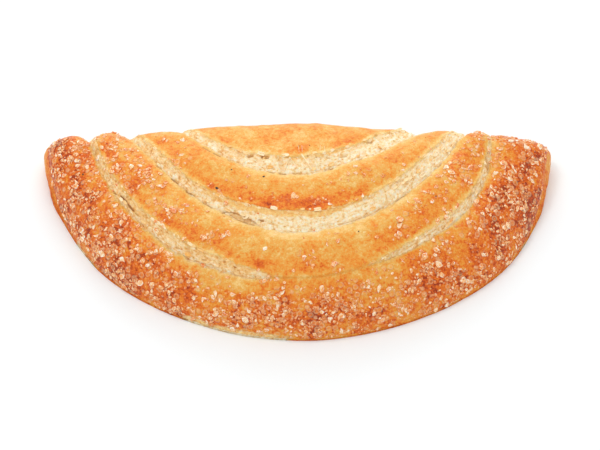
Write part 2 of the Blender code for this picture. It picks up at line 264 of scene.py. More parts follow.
# How much melted sugar covers the first band, the second at its middle and ends, and the rim, by level.
MELT_FIRST, MELT_SECOND_MIDDLE, MELT_SECOND_ENDS, MELT_RIM = 0.05, 0.06, 0.5, 0.85
MELT_FIRST_LEVELS, MELT_SECOND_LEVELS, MELT_RIM_LEVELS = (1.15, 1.4), (2.0, 2.3), (3.05, 3.7)
MELT_ENDS = (0.35, 0.72)
MELT_CLUMPS = ((1.0, 6.0, 80.0), (0.6, 14.0, 81.0))
MELT_CLUMP_RANGE = (-0.5, 0.5)
MELT_BETWEEN_CLUMPS, MELT_IN_CLUMPS = 0.45, 1.35
MELT_OFF_DOUGH = 0.85
MELT_LIP = (0.05, 0.7)

# Small tears in the dough: half width in pixels, depth in mm, darkness (painted shade in the tear's hollow,
# with browned dough), and the path in pixels of the photo.
TEARS = (
    (0.7, 0.3, 0.75, (204, 145, 212, 149.5)),
    (0.8, 0.3, 0.8, (215, 151, 222, 154.5)),
    (0.7, 0.3, 0.6, (229, 158, 234, 160.5)),
    (0.6, 0.2, 0.5, (238, 162, 245, 165.5)),
    (0.7, 0.3, 0.6, (270, 170, 276, 171.5)),
    (0.8, 0.3, 0.7, (281, 172, 287, 172.6)),
    (0.9, 0.3, 0.7, (295, 171.8, 301, 171.6)),
    (0.7, 0.2, 0.5, (317, 169.6, 324, 168.6)),
    (0.8, 0.3, 0.6, (327, 168.2, 334, 167)),
    (0.7, 0.2, 0.6, (352, 162, 363, 157.5)),
    (1.5, 0.5, 0.75, (250, 154.4, 254, 153.6)),
    (1.9, 0.6, 0.85, (264, 154.6, 269, 155)),
    (1.0, 0.4, 0.6, (296, 155, 300, 155)),
    (1.2, 0.4, 0.75, (309, 153.6, 312, 155)),
    (1.2, 0.4, 0.7, (315, 154.4, 318, 155)),
    (0.9, 0.3, 0.6, (321, 155.5, 323, 156)),
    (1.0, 0.4, 0.65, (328, 155.5, 331, 156)),
    (1.1, 0.4, 0.6, (342, 155, 348, 154)),
    (1.6, 0.4, 0.6, (369, 140.4, 373, 139.8)),
    (2.4, 0.7, 0.42, (282, 158, 284, 167)),
    (0.8, 0.3, 0.75, (158, 164, 163, 167)),
    (0.9, 0.3, 0.8, (173, 177, 180, 182)),
    (0.8, 0.3, 0.8, (188, 190, 197, 194)),
    (0.9, 0.3, 0.6, (205, 201, 214, 206)),
    (0.7, 0.3, 0.85, (224, 211.4, 229, 210)),
    (0.8, 0.4, 0.85, (230, 210, 238, 211, 246, 214, 252, 217, 258, 221.5)),
    (0.8, 0.4, 0.7, (232, 213, 240, 218, 248, 221, 256, 223)),
    (2.4, 0.7, 0.5, (236, 213, 244, 216.5, 252, 219.5)),
    (1.4, 0.5, 0.85, (261, 218, 265, 218.5)),
    (0.7, 0.2, 0.6, (271, 222, 280, 223.5)),
    (0.6, 0.2, 0.4, (270, 230, 290, 232)),
    (0.7, 0.3, 0.6, (340, 223, 356, 218, 371, 213, 381, 207.5, 385, 204.5)),
    (2.0, 0.4, 0.35, (384, 203, 391, 201.5)),
    (0.9, 0.3, 0.55, (380, 206, 391, 206, 400, 197.5, 411, 191)),
    (1.0, 0.3, 0.5, (366, 197.5, 376, 195)),
    (0.8, 0.2, 0.4, (340, 206.5, 347, 205)),
    (3.0, 0.2, 0.36, (97, 150, 100, 160, 103, 170)),
    (0.8, 0.3, 0.7, (114, 190.5, 118, 192.5)),
    (1.2, 0.5, 0.9, (122, 194, 128, 199.5)),
    (1.3, 0.5, 0.9, (129.5, 202, 135, 208.5)),
    (0.7, 0.3, 0.7, (137, 211, 141, 214.5)),
    (0.7, 0.2, 0.6, (151, 223, 156, 226)),
    (0.7, 0.2, 0.5, (180, 245.5, 187, 249)),
    (0.9, 0.3, 0.7, (202, 257, 209, 258)),
    (1.8, 0.6, 0.55, (489, 157, 490.5, 163, 491, 170)),
    (0.8, 0.3, 0.6, (471, 194, 475, 191)),
    (0.8, 0.3, 0.5, (452, 214, 456, 211)),
    (0.6, 0.3, 0.45, (390, 257, 405, 248, 420, 238.5, 436, 228)),
    (0.6, 0.2, 0.4, (384, 263, 400, 255, 416, 246)),
)

# Soft patches where the crust browned more or less: middle, half width and height in pixels, change of bake.
PATCH_STRENGTH = 0.75
PATCHES = (
    (240, 138, 12, 6, -0.14), (268, 137, 14, 6, 0.07), (305, 146, 14, 5, 0.16), (352, 139, 12, 5, 0.12),
    (330, 150, 14, 4, -0.1), (212, 129, 12, 4, 0.1), (385, 130, 14, 4, 0.02), (225, 143, 14, 5, -0.06),
    (190, 152, 10, 8, 0.03), (212, 160, 12, 6, -0.08), (216, 186, 12, 8, 0.1), (240, 188, 16, 8, 0.08),
    (285, 202, 50, 5, 0.16), (325, 201, 24, 5, 0.14), (290, 179, 40, 4, -0.05), (365, 168, 6, 5, 0.2),
    (350, 190, 14, 5, 0.14), (392, 165, 12, 8, -0.06), (405, 150, 12, 6, -0.14), (340, 176, 14, 5, -0.05),
    (145, 178, 14, 12, 0.1), (200, 228, 16, 8, 0.12), (250, 262, 30, 6, 0.14), (300, 234, 60, 4, -0.08),
    (395, 230, 20, 8, 0.1), (420, 212, 16, 8, 0.06), (462, 158, 14, 10, 0.12), (450, 188, 14, 8, 0.04),
    (330, 255, 30, 8, 0.02), (120, 160, 12, 12, 0.02), (60, 190, 8, 20, 0.1), (85, 200, 10, 12, -0.06),
    (75, 150, 14, 8, 0.04), (215, 280, 22, 6, -0.12), (250, 300, 30, 8, 0.05), (310, 315, 30, 10, 0.1),
    (70, 175, 24, 36, 0.1), (525, 175, 18, 34, 0.08), (490, 235, 24, 26, 0.1), (430, 275, 30, 14, 0.08),
    (440, 250, 46, 12, 0.1), (500, 200, 12, 26, 0.1), (170, 258, 26, 12, 0.08), (118, 222, 12, 14, 0.08),
    (340, 312, 50, 12, 0.06), (150, 285, 30, 18, 0.05), (215, 138, 40, 10, 0.06), (300, 134, 60, 8, 0.06),
    (522, 160, 10, 8, 0.08), (530, 205, 10, 20, 0.14), (505, 190, 10, 20, 0.05), (480, 250, 22, 14, 0.08),
    (500, 150, 8, 8, -0.1), (440, 250, 20, 8, -0.04), (110, 240, 10, 8, 0.12), (165, 270, 20, 10, 0.05),
)

# Where sugar gathered or is missing: middle, half width and height in pixels, and how much more or less.
CLUMPS = (
    (218, 189, 7, 4, 0.5), (280, 193, 20, 4, 0.3), (178, 158, 12, 7, 0.3), (375, 174, 10, 5, 0.45),
    (322, 199, 8, 3, 0.35), (128, 168, 9, 9, 0.3), (150, 172, 12, 8, 0.3), (185, 212, 12, 8, 0.35),
    (210, 236, 8, 6, 0.4), (268, 276, 12, 4, 0.6), (235, 273, 5, 3, 0.5), (457, 165, 12, 6, 0.35),
    (468, 182, 8, 6, 0.4), (412, 210, 12, 10, 0.35), (398, 228, 10, 8, 0.3), (345, 265, 10, 4, 0.3),
    (302, 252, 4, 6, 0.4), (310, 262, 5, 4, 0.4), (235, 285, 26, 6, -0.5), (205, 275, 14, 6, -0.4),
    (82, 178, 6, 10, -0.35), (500, 165, 10, 14, -0.4), (505, 220, 8, 8, -0.2), (450, 250, 24, 8, -0.3),
    (126, 147, 5, 2, 0.5), (74, 145, 14, 6, 0.2), (330, 312, 60, 10, 0.35), (430, 288, 34, 12, 0.3),
    (505, 235, 14, 26, 0.25), (525, 180, 12, 26, 0.2), (235, 318, 40, 8, 0.25), (120, 270, 26, 12, 0.2),
)

# Burnt specks on the crust: place in pixels and half width in mm.
SPECKS = (
    (219, 185.5, 0.36), (265, 175.2, 0.34), (233.5, 168.7, 0.22), (436.7, 194.7, 0.26), (358.8, 229, 0.22),
    (83.7, 173, 0.28), (300, 143.5, 0.18), (311, 143, 0.16), (150, 259, 0.2),
)

# Rows of the top: spacing near a cut and how far that reaches, in mm, and rows in each band between.
NEAR_ABOVE = 3.7
NEAR_BELOW = 3.6
NEAR_STEP = 0.28
BAND_ROWS = (22, 16, 12, 32)
COLUMNS = 420
COLUMN_CROWDING = 0.13
END_COLUMNS = 6
TABLE_LEVELS = 161

# Over how many neighbours on each side the directions of the even and of the finished top are evened out.
EVEN_REACH, FINISHED_REACH = 6, 1

# Side profiles from the top's edge down: the fold's as shares of its reach and height, the rim's in mm.
FOLD_PROFILE = ((0.0, 1.0), (0.6, 0.84), (0.95, 0.66), (1.0, 0.48), (0.7, 0.26), (-0.2, 0.09), (-1.3, 0.0))
RIM_PROFILE = ((0.0, 1.0), (0.3, 0.84), (0.52, 0.67), (0.7, 0.5), (0.85, 0.33), (1.0, 0.16), (0.95, 0.0))
PROFILE_SMOOTHING = 0.05
RIM_REACH = (0.15, 0.85)
LOW_RIM, TALL_RIM = 0.5, 5.0
SIDE_ROWS = 14
EDGE_SMOOTHING = 6
RIM_BLEND = 0.25
RIM_LAYERS = 4.5
RIM_LAYER_DEPTH = 0.3
RIM_LAYERS_LOW = 0.4
RIM_STRIPE_SHIFT = 0.8
RIM_WAVES = ((1.0, 9.0, 70.0),)
RIM_ROUGHNESS = ((0.25, 2.0, 71.0),)
RIM_ROUGHNESS_STRETCH = 6.0
BASE_RINGS = (0.96, 0.8, 0.45)

# Where the dough's flow continues down the sides and on the base, in mm from the cuts.
SIDE_FLOW_START, SIDE_FLOW_LENGTH, BASE_FLOW = 10.0, 6.0, 20.0

# How bare of browning and sugar the rim's layers are, by the photo's pixel across.
BARE_RIM = ((44, 0.2), (70, 0.3), (78, 0.55), (94, 0.55), (104, 0.2), (170, 0.2), (200, 0.8), (270, 0.9),
            (285, 0.6), (310, 0.3), (345, 0.35), (370, 0.2), (500, 0.2), (530, 0.45), (555, 0.45))
BARE_TOP_UNEVENNESS = ((0.5, 4.0, 72.0),)
BARE_SIDE_UNEVENNESS = ((0.3, 5.0, 72.0),)
BARE_TOP_RANGE = (0.4, 0.9)
BARE_TOP_LEVELS = (3.975, 4.0)
BARE_SIDE_RANGE = (0.3, 0.9)
BARE_BAKE = (0.05, 0.45)
RAW_RANGE = (0.3, 0.6)
RAW_STRIPES = 0.15
RAW_GOLDEN = 0.5


def mix(a, b, share):
    return a + (b - a) * share


def ease(value, start, end):
    """0 before start, 1 after end, and a smooth step between."""
    share = np.clip((value - start) / (end - start), 0.0, 1.0)
    return share * share * (3.0 - 2.0 * share)


def bell(value, centre, width):
    return np.exp(-(((value - centre) / width) ** 2))


def lumps(points, size, layer):
    """Smooth noise from about -1 to 1 at an array of points in mm."""
    flat = np.asarray(points, float).reshape(-1, np.shape(points)[-1])
    shift = Vector((0.0, 0.0, layer))
    values = [noise.noise(Vector((p[0], p[1], p[2] if len(p) > 2 else 0.0)) / size + shift) for p in flat]
    return np.array(values).reshape(np.shape(points)[:-1])


def unevenness(points, kinds, number=0):
    """Noise of several kinds added up. Each is a height and a size in mm, and which noise it reads."""
    return sum(height * lumps(points, size, layer + number) for height, size, layer in kinds)


def stack(*parts):
    return np.stack(np.broadcast_arrays(*parts), axis=-1)


def table_at(table, place):
    """A value read from a table of places and values, and evenly between them."""
    return np.interp(place, *zip(*table))


def arc_at(level):
    """The five numbers of the arcs at an array of levels."""
    return [np.interp(level, np.arange(len(ARCS)), ARCS[:, number]) for number in range(5)]


def fold_radius(x):
    return mix(FOLD_RADIUS_END, FOLD_RADIUS_MIDDLE, np.sqrt(1.0 - (x / FOLD_RADIUS_SPAN) ** 2))


def fold_line(x):
    return -TIP_SETBACK * (np.abs(x) / HALF_WIDTH) ** TIP_SETBACK_POWER


def plan(level, angle):
    """Where places on the top lie, seen from above."""
    left, right, reach, roundness, lean = arc_at(level)
    x = mix(left, right, (1.0 - np.cos(angle)) / 2.0)
    depth = reach * np.maximum(0.0, np.sin(angle)) ** roundness * (1.0 - lean * np.cos(angle))
    at_rim = ease(level, RIM_LEVEL - 1.0, RIM_LEVEL)
    depth = depth * (1.0 + table_at(RIM_STRETCH, angle / PI) * at_rim)
    for cut, further in enumerate(CUT_STRETCH, 1):
        depth = depth + table_at(further, angle / PI) * np.maximum(0.0, 1.0 - np.abs(level - cut))
    sway = SWAY * lumps(stack(x, depth, SWAY_NOISE) / SWAY_SIZE, 1.0, 0.0) * np.sin(angle) ** 2
    behind = np.maximum(0.0, TIP_RADIUS - FOLD_STOP * fold_radius(x) - depth)
    rounding = (TIP_RADIUS - np.sqrt(TIP_RADIUS**2 - behind**2)) * at_rim
    x = x - np.copysign(rounding, x)
    return x, fold_line(x) - FOLD_STOP * fold_radius(x) - depth + sway


def dome(level, angle, x, y):
    """Height of the risen pastry with no cuts in it and no turn at the fold."""
    outwards = level / RIM_LEVEL
    middle = np.sin(angle)
    end_fullness = mix(LEFT_FULLNESS, RIGHT_FULLNESS, (1.0 - np.cos(angle)) / 2.0)
    fullness = mix(end_fullness, MIDDLE_FULLNESS, middle**2)
    crest = FOLD_HEIGHT - FOLD_FALL * (np.abs(x) / HALF_WIDTH) ** FOLD_FALL_POWER
    crest = crest + DOME_LIFT * ease(-y, 0.0, DOME_LIFT_REACH)
    lobes = sum(lift * bell(x, middle_x, half_width) for middle_x, half_width, lift in FOLD_LIFTS)
    crest = crest + lobes * (1.0 - ease(-y, *FOLD_LIFT_REACH))
    edge = EDGE_HEIGHT + TIP_HEIGHT * (1.0 - ease(middle, 0.0, TIP_SPAN)) * ease(level, 0.0, RIM_LEVEL)
    return edge + (crest - edge) * np.maximum(0.0, 1.0 - outwards**DOME_POWER) ** fullness


def fold_turn(x, y, height):
    """How far the surface has dropped where it turns over the fold."""
    radius = np.minimum(fold_radius(x), FOLD_RADIUS_SHARE * height)
    inwards = np.minimum(np.maximum(fold_line(x) - y, 0.0) * radius / fold_radius(x), radius)
    return radius - np.sqrt(radius**2 - (radius - inwards) ** 2)


def smooth_top(level, angle):
    """Points of the uncut, even top."""
    x, y = plan(level, angle)
    height = dome(level, angle, x, y)
    return stack(x, y, height - fold_turn(x, y, height))


def column_angles():
    share = np.linspace(0.0, 1.0, COLUMNS + 1)
    return PI * share - COLUMN_CROWDING * np.sin(2.0 * PI * share)


def along_surface(points):
    """Distance in mm down each column of a grid of points, from its first row."""
    steps = np.linalg.norm(np.diff(points, axis=0), axis=2)
    return np.concatenate([np.zeros((1, points.shape[1])), np.cumsum(steps, axis=0)])


def row_distances(cuts, whole):
    """Distances of the mesh rows down one column, close together over its three cuts."""
    near = np.arange(-NEAR_ABOVE, NEAR_BELOW + NEAR_STEP / 2.0, NEAR_STEP)
    rows = [np.linspace(0.0, cuts[0] - NEAR_ABOVE, BAND_ROWS[0], endpoint=False)]
    for index, cut in enumerate(cuts):
        after = cuts[index + 1] - NEAR_ABOVE if index + 1 < len(cuts) else whole
        last = index + 1 == len(cuts)
        rows.append(cut + near)
        band = np.linspace(cut + NEAR_BELOW, after, BAND_ROWS[index + 1] + 1, endpoint=last)
        rows.append(band[1:])
    return np.concatenate(rows)


class Top:
    """The top as a grid of rows and columns, with what lies where on it."""

    def __init__(self):
        angles = column_angles()
        table = np.linspace(0.0, RIM_LEVEL, TABLE_LEVELS)[:, None]
        distance = along_surface(smooth_top(table, angles[None, :]))
        levels = []
        offsets = []
        for column in range(len(angles)):
            cuts = [np.interp(at, table[:, 0], distance[:, column]) for at in range(1, RIM_LEVEL)]
            rows = row_distances(cuts, distance[-1, column])
            levels.append(np.interp(rows, distance[:, column], table[:, 0]))
            offsets.append(rows[:, None] - np.array(cuts)[None, :])
        self.level = np.array(levels).T
        self.angle = np.broadcast_to(angles[None, :], self.level.shape)
        self.share = self.angle / PI
        self.offset = np.array(offsets).transpose(1, 0, 2)
        self.even = smooth_top(self.level, self.angle)
        self.normal = settle_ends(grid_normals(self.even, EVEN_REACH))
        self.along = along_surface(self.even.transpose(1, 0, 2)).T
        self.along -= self.along[:, COLUMNS // 2][:, None]
        self.shape_cuts()

    def shape_cuts(self):
        """Sinks the cuts and raises the blisters, and notes how each place has baked."""
        self.flow = stack(self.along, 0.0 * self.along)
        for name in ("sunk", "dough", "golden", "crease", "layer", "pale", "under", "edge"):
            setattr(self, name, np.zeros_like(self.level))
        self.lip = np.ones_like(self.level)
        for index in range(len(CUT_WIDTHS)):
            self.open_cut(index)
        flat = stack(self.even[..., 0], self.even[..., 1], 0.0)
        relief = unevenness(flat, SWELLS) + unevenness(flat, BLISTERS) * (1.0 - self.dough)
        body = ease(RIM_LEVEL - self.level, 0.0, FLAT_EDGE_LEVELS)
        self.point = self.even + self.normal * ((relief - self.sunk) * body)[..., None]
        self.tear_dough()
        self.bare_rim()
        self.normal = settle_ends(grid_normals(self.point, FINISHED_REACH))
        self.bake = self.baking()
        self.melt = self.melting()

    def open_cut(self, index):
        """Sinks one cut and tears the dough in it."""
        offset = self.offset[..., index]
        width = table_at(CUT_WIDTHS[index], self.share)
        golden = table_at(GOLDEN_DOUGH[index], self.share)
        opened, wide = ease(width, *OPENING_WIDTHS), ease(width, *WIDE_WIDTHS)
        rough = opened * mix(NARROW_ROUGHNESS, 1.0, wide)
        upper = -FACE_ABOVE * width + rough * unevenness(self.flow, UPPER_EDGE, index)
        hem = rough * unevenness(self.flow, LOWER_EDGE, index) * mix(1.0, LOWER_EDGE_GOLDEN, golden)
        lower = -FACE_ABOVE * width + width + hem
        at_fold = 1.0 - ease(np.sin(self.angle), 0.0, FOLD_NOTCH_REACH)
        notch = mix(*FOLD_NOTCHES[index], self.share)
        depth = mix(CUT_DEPTH_LEAST + CUT_DEPTH_SHARE * width, notch, at_fold)
        self.sunk += cut_profile(offset, upper, lower, depth, at_fold)
        self.sunk -= CRISP_EDGE * bell(offset, upper - CRISP_SETBACK, CRISP_WIDTH) * rough * (1.0 - at_fold)
        inside = ease(offset, upper - mix(*FADE_ABOVE_UPPER, golden), upper + mix(*FADE_BELOW_UPPER, golden))
        past = ease(offset, lower - mix(*FADE_ABOVE_LOWER, golden), lower + mix(*FADE_BELOW_LOWER, golden))
        inside *= 1.0 - past
        torn = sum(height * lumps(stack(self.along / along, offset / across), size, layer + index)
                   for height, along, across, size, layer in DOUGH_RELIEF)
        self.sunk -= inside * opened * torn * mix(1.0, GOLDEN_RELIEF, golden)
        self.dough = np.maximum(self.dough, inside * opened)
        across = np.clip((offset - upper) / np.maximum(lower - upper, FACE_LEAST), 0.0, 1.0)
        self.under = np.maximum(self.under, inside * (1.0 - across) * mix(PALE_SHADE, 1.0, golden))
        above = ease(offset, upper - GOLDEN_ABOVE[0], upper - GOLDEN_ABOVE[1])
        below = ease(offset, lower + GOLDEN_BELOW[0], lower + GOLDEN_BELOW[1])
        self.golden = np.maximum(self.golden, golden * above * (1.0 - below))
        broken = ease(unevenness(self.flow, BROWN_LINE_BREAKS, index), *BROWN_LINE_RANGE)
        self.crease += bell(offset, lower - BROWN_LINE[0], BROWN_LINE[1]) * opened * broken
        self.show_layer(index, inside, offset, upper)
        self.bake_edges(index, offset, upper, lower, opened, wide)

    def show_layer(self, index, inside, offset, upper):
        """Notes where the golden layer shows just under the crust of a cut."""
        start, end, most = LAYER_STRIPS[index]
        fade_in, fade_out = LAYER_STRIP_FADES
        in_strip = ease(self.share, start - fade_in, start) * (1.0 - ease(self.share, end, end + fade_out))
        reach = mix(LAYER_LEAST, most, in_strip)
        shown = inside * (1.0 - ease(offset, upper + LAYER_FULL_SHARE * reach, upper + reach))
        self.layer = np.maximum(self.layer, shown)

    def bake_edges(self, index, offset, upper, lower, opened, wide):
        """Notes the pale line and the browning above a cut, and the pale lip below it."""
        pale_width = EDGE_PALE_WIDTH * (1.0 + unevenness(self.flow, EDGE_PALE_UNEVENNESS, index))
        pale = ease(offset, upper - pale_width, upper - EDGE_PALE_END) * (offset < lower)
        self.pale = np.maximum(self.pale, pale * opened * table_at(EDGE_PALE[index], self.share))
        lip_width = mix(*LIP_WIDTHS, wide) + unevenness(self.flow, LIP_UNEVENNESS, index)
        past_lip = ease(offset, lower - LIP_START, lower + lip_width * LIP_SHARES[index])
        past_lip = mix(1.0, past_lip, opened)
        self.lip = np.minimum(self.lip, np.where(offset > 0.0, past_lip, 1.0))
        browned = np.where(offset < upper, bell(offset, upper - EDGE_BROWN_SETBACK, EDGE_BROWN_WIDTH), 0.0)
        self.edge += browned * table_at(EDGE_BAKE[index], self.share)

    def tear_dough(self):
        """Opens the small tears, which lie where the photo shows them, and notes their darkness: painted
        shade in the hollows, with browned dough.
        """
        self.seen = seen_at(self.point)
        self.stain = np.zeros_like(self.level)
        sunk = np.zeros_like(self.level)
        for half_width, depth, darkness, path in TEARS:
            away = from_path(self.seen, path)
            inside = 1.0 - ease(away, 0.5 * half_width, 1.5 * half_width)
            sunk = np.maximum(sunk, depth * inside)
            # Darkness of the tear: painted shade in its hollow, with browned dough.
            self.stain = np.maximum(self.stain, darkness * inside)
        self.point = self.point - self.normal * sunk[..., None]

    def bare_rim(self):
        """Notes where raw dough shows as a thin line along the rim."""
        bare = table_at(BARE_RIM, self.seen[..., 0]) + unevenness(self.flow, BARE_TOP_UNEVENNESS)
        bare = ease(bare, *BARE_TOP_RANGE) * ease(self.level, *BARE_TOP_LEVELS)
        self.dough, self.layer = np.maximum(self.dough, bare), np.maximum(self.layer, bare)
        self.golden = np.maximum(self.golden, RAW_GOLDEN * bare)

    def baking(self):
        """How far each place has browned, from 0 for raw dough to 1 for the darkest crust."""
        ends = (np.abs(self.even[..., 0]) / HALF_WIDTH) ** 2
        at_rim = ease(self.level, *BAKE_RIM_LEVELS) * mix(BAKE_RIM_MIDDLE, 1.0, np.minimum(1.0, 2.0 * ends))
        bake = BAKE + BAKE_AT_ENDS * ends + BAKE_AT_RIM * at_rim
        bake += BAKE_ABOVE_CUTS * np.minimum(1.0, self.edge)
        bake += unevenness(stack(self.even[..., 0], self.even[..., 1], 0.0), BAKE_UNEVENNESS)
        bake += BAKE_AT_FOLD * bell(self.level, 0.0, BAKE_FOLD_LEVELS)
        bake += PATCH_STRENGTH * spots(self.seen, PATCHES)
        bake = np.where(bake > BAKE_KNEE, mix(BAKE_KNEE, bake, BAKE_PAST_KNEE), bake)
        pale = PALE_BAKE + PALE_BAKE_SHARE * (bake - BAKE)
        return mix(pale, bake, self.lip * (1.0 - self.pale))

    def melting(self):
        """How much sugar has melted into the crust at each place, from none to a full cover of 1."""
        ends = ease(np.abs(self.even[..., 0]) / HALF_WIDTH, *MELT_ENDS)
        first = MELT_FIRST * ease(self.level, *MELT_FIRST_LEVELS)
        second = mix(MELT_SECOND_MIDDLE, MELT_SECOND_ENDS, ends)
        second = mix(MELT_FIRST, second, ease(self.level, *MELT_SECOND_LEVELS))
        melt = np.where(self.level < MELT_SECOND_LEVELS[0], first, second)
        melt = mix(melt, MELT_RIM, ease(self.level, *MELT_RIM_LEVELS))
        clumps = ease(unevenness(self.even, MELT_CLUMPS), *MELT_CLUMP_RANGE)
        melt = melt * mix(MELT_BETWEEN_CLUMPS, MELT_IN_CLUMPS, clumps) + spots(self.seen, CLUMPS)
        return np.clip(melt, 0.0, 1.0) * (1.0 - MELT_OFF_DOUGH * self.dough) * ease(self.lip, *MELT_LIP)


def spots(seen, places):
    """The changes of all soft spots added up. Each is a middle, half width, half height and a change."""
    total = np.zeros(seen.shape[:-1])
    for across, down, half_width, half_height, change in places:
        away = ((seen[..., 0] - across) / half_width) ** 2 + ((seen[..., 1] - down) / half_height) ** 2
        total += change * np.exp(-away)
    return total


def cut_profile(offset, upper, lower, depth, at_fold):
    """How deep a cut is at an offset: a round shoulder, the broken crust, a slanted face and a round lip."""
    shoulder_share = mix(SHOULDER_SHARE, FOLD_SHOULDER_SHARE, at_fold)
    start = upper - mix(SHOULDER, FOLD_SHOULDER, at_fold)
    shoulder = shoulder_share * np.clip((offset - start) / (upper - start), 0.0, 1.0) ** SHOULDER_ROUNDNESS
    step_share = mix(CRUST_STEP_SHARE, 0.0, at_fold)
    step = step_share * ease(offset, upper, upper + CRUST_STEP)
    face_start = upper + CRUST_STEP
    along_face = np.clip((offset - face_start) / np.maximum(lower - face_start, FACE_LEAST), 0.0, 1.0)
    face = (1.0 - shoulder_share - step_share) * along_face**FACE_ROUNDNESS
    lip = (1.0 - np.clip((offset - lower) / LIP, 0.0, 1.0)) ** LIP_ROUNDNESS
    profile = np.where(offset < lower, shoulder + step + face, lip)
    return depth * profile + CREASE_DEPTH * bell(offset, lower, CREASE_WIDTH) * ease(depth, *CREASED_DEPTHS)


def grid_normals(points, reach):
    """Outward directions of a grid whose rows run forward and whose columns run to the right.

    They are evened out over some neighbours on each side, where large cells count for more than slivers.
    """
    down, right = np.gradient(points, axis=0), np.gradient(points, axis=1)
    normal = np.cross(down, right)
    for axis in (0, 1):
        pads = [(reach, reach) if number == axis else (0, 0) for number in range(3)]
        padded = np.pad(normal, pads, mode="edge")
        count = normal.shape[axis]
        normal = sum(np.take(padded, np.arange(step, step + count), axis=axis)
                     for step in range(2 * reach + 1))
    return normal / np.maximum(np.linalg.norm(normal, axis=2, keepdims=True), 1e-9)


def settle_ends(normal):
    """Gives the crowded columns at both ends the directions of the columns beside them."""
    normal[:, :END_COLUMNS] = normal[:, END_COLUMNS : END_COLUMNS + 1]
    normal[:, -END_COLUMNS:] = normal[:, -END_COLUMNS - 1 : -END_COLUMNS]
    return normal


def seen_at(points):
    """Where points in mm from the fold lie in the photo, in pixels across and down."""
    up = points[..., 1] * math.sin(CAMERA_HEIGHT) + points[..., 2] * math.cos(CAMERA_HEIGHT)
    return stack(MIDDLE_PIXEL + points[..., 0] / PIXEL, OBJECT_TOP + (TOP_OF_FOLD - up) / PIXEL)


def from_path(seen, path):
    """Distance in pixels from each place to a path, given as across and down by turns."""
    corners = np.array(path, float).reshape(-1, 2)
    nearest = np.full(seen.shape[:-1], np.inf)
    for start, end in zip(corners[:-1], corners[1:]):
        way = end - start
        along = np.clip(((seen - start) @ way) / (way @ way), 0.0, 1.0)
        nearest = np.minimum(nearest, np.linalg.norm(seen - start - along[..., None] * way, axis=-1))
    return nearest


def to_frame(points):
    """Points in mm from the fold, as metres in the row frame."""
    return (points + np.array((CENTRE_X, HIGH.y / MM - FOLD_INSET, 0.0))) * MM


def deselect_all():
    if bpy.context.object and bpy.context.object.mode != "OBJECT":
        bpy.ops.object.mode_set(mode="OBJECT")
    bpy.ops.object.select_all(action="DESELECT")


def new_piece(name):
    """Names the primitive that was just added."""
    piece = bpy.context.active_object
    piece.name = name
    piece.data.name = name
    return piece


def finish_piece(piece, material, smooth_angle=None):
    """Gives a finished piece its material and its place in the frame."""
    deselect_all()
    piece.select_set(True)
    bpy.context.view_layer.objects.active = piece
    bpy.ops.object.transform_apply(location=True, rotation=True, scale=True)
    if smooth_angle is None:
        bpy.ops.object.shade_smooth()
    else:
        bpy.ops.object.shade_smooth_by_angle(angle=smooth_angle)
    piece.data.materials.clear()
    piece.data.materials.append(material)
    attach(piece, BODY)
    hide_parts(NODE)
    deselect_all()


def join_pieces(made, name):
    """Joins several objects into one piece."""
    for part in made:
        part.select_set(True)
    bpy.context.view_layer.objects.active = made[0]
    bpy.ops.object.join()
    return new_piece(name)


def ordered_faces(shape):
    """A shape's faces as vertex numbers, in one fixed order, as Blender's own order varies."""
    faces = [tuple(polygon.vertices) for polygon in shape.data.polygons]
    starts = [face.index(min(face)) for face in faces]
    return np.array(sorted(face[start:] + face[:start] for face, start in zip(faces, starts)))


def mesh_piece(name, points, triangles):
    """One piece from lists of points in metres and lists of triangles between them."""
    deselect_all()
    bpy.ops.mesh.primitive_cube_add(size=1.0)
    piece = new_piece(name)
    piece.data.clear_geometry()
    piece.data.from_pydata(np.concatenate(points).tolist(), [], np.concatenate(triangles).tolist())
    piece.data.update()
    return piece


def add_values(mesh, name, values):
    layer = mesh.attributes.new(name, "FLOAT", "POINT")
    layer.data.foreach_set("value", np.asarray(values, np.float32))


